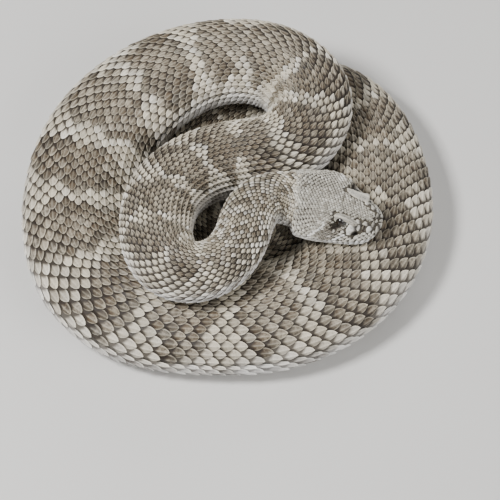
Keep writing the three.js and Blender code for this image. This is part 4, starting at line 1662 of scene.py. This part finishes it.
class SNAKE_OT_stage(bpy.types.Operator):
    """Set up the floor, the lights and the camera"""

    bl_idname = "snake.stage"
    bl_label = "Stage"

    def execute(self, context):
        floor = added(bpy.ops.mesh.primitive_plane_add, "floor", size=FLOOR_SIZE)
        floor.data.materials.append(floor_finish())
        for name, place, size, power in LIGHTS:
            light = added(bpy.ops.object.light_add, name, type="AREA", location=place)
            light.data.size, light.data.energy = size, power
            aim = LIGHTS_AIM - Vector(place)
            light.rotation_euler = aim.to_track_quat("-Z", "Y").to_euler()
        world = bpy.data.worlds.new("studio")
        world.use_nodes = True
        sky = world.node_tree.nodes["Background"].inputs
        sky["Color"].default_value, sky["Strength"].default_value = WORLD_COLOUR, WORLD_STRENGTH
        context.scene.world = world
        away = Vector((
            0, -CAMERA_DISTANCE * math.cos(CAMERA_ELEVATION),
            CAMERA_DISTANCE * math.sin(CAMERA_ELEVATION)))
        camera = added(
            bpy.ops.object.camera_add, "camera", location=Vector(CAMERA_TARGET) + away,
            rotation=(math.pi / 2 - CAMERA_ELEVATION, 0, 0))
        camera.data.lens, camera.data.sensor_width = CAMERA_LENS, CAMERA_SENSOR
        context.scene.camera = camera
        return {"FINISHED"}


class SNAKE_PT_panel(bpy.types.Panel):
    """Sizes, colours and makers of the animal"""

    bl_idname = "SNAKE_PT_panel"
    bl_label = "Rattlesnake"
    bl_space_type = "VIEW_3D"
    bl_region_type = "UI"
    bl_category = "Rattlesnake"

    def draw(self, context):
        for group in (context.scene.snake_sizes, context.scene.snake_colours):
            for name in group.__annotations__:
                self.layout.prop(group, name)
        for operator in OPERATORS:
            self.layout.operator(operator.bl_idname)


OPERATORS = (
    SNAKE_OT_stage, SNAKE_OT_skin, SNAKE_OT_back_scales, SNAKE_OT_belly_plates,
    SNAKE_OT_head_coat, SNAKE_OT_eyes, SNAKE_OT_rattle,
)
CLASSES = (SnakeColours, SnakeSizes, *OPERATORS, SNAKE_PT_panel)


def register():
    """Adds the settings, the operators and the panel."""
    for item in CLASSES:
        bpy.utils.register_class(item)
    bpy.types.Scene.snake_colours = PointerProperty(type=SnakeColours)
    bpy.types.Scene.snake_sizes = PointerProperty(type=SnakeSizes)


def unregister():
    """Takes away what register adds."""
    del bpy.types.Scene.snake_sizes
    del bpy.types.Scene.snake_colours
    for item in reversed(CLASSES):
        bpy.utils.unregister_class(item)


def main():
    """Makes the stage and every piece."""
    register()
    bpy.ops.snake.stage()
    bpy.ops.snake.skin()
    bpy.ops.snake.back_scales()
    bpy.ops.snake.belly_plates()
    bpy.ops.snake.head_coat()
    bpy.ops.snake.eyes()
    bpy.ops.snake.rattle()


def plain(bounds):
    """Bounds as lists of plain numbers."""
    return [[float(number) for number in corner] for corner in bounds]


if __name__ == "__main__":
    main()
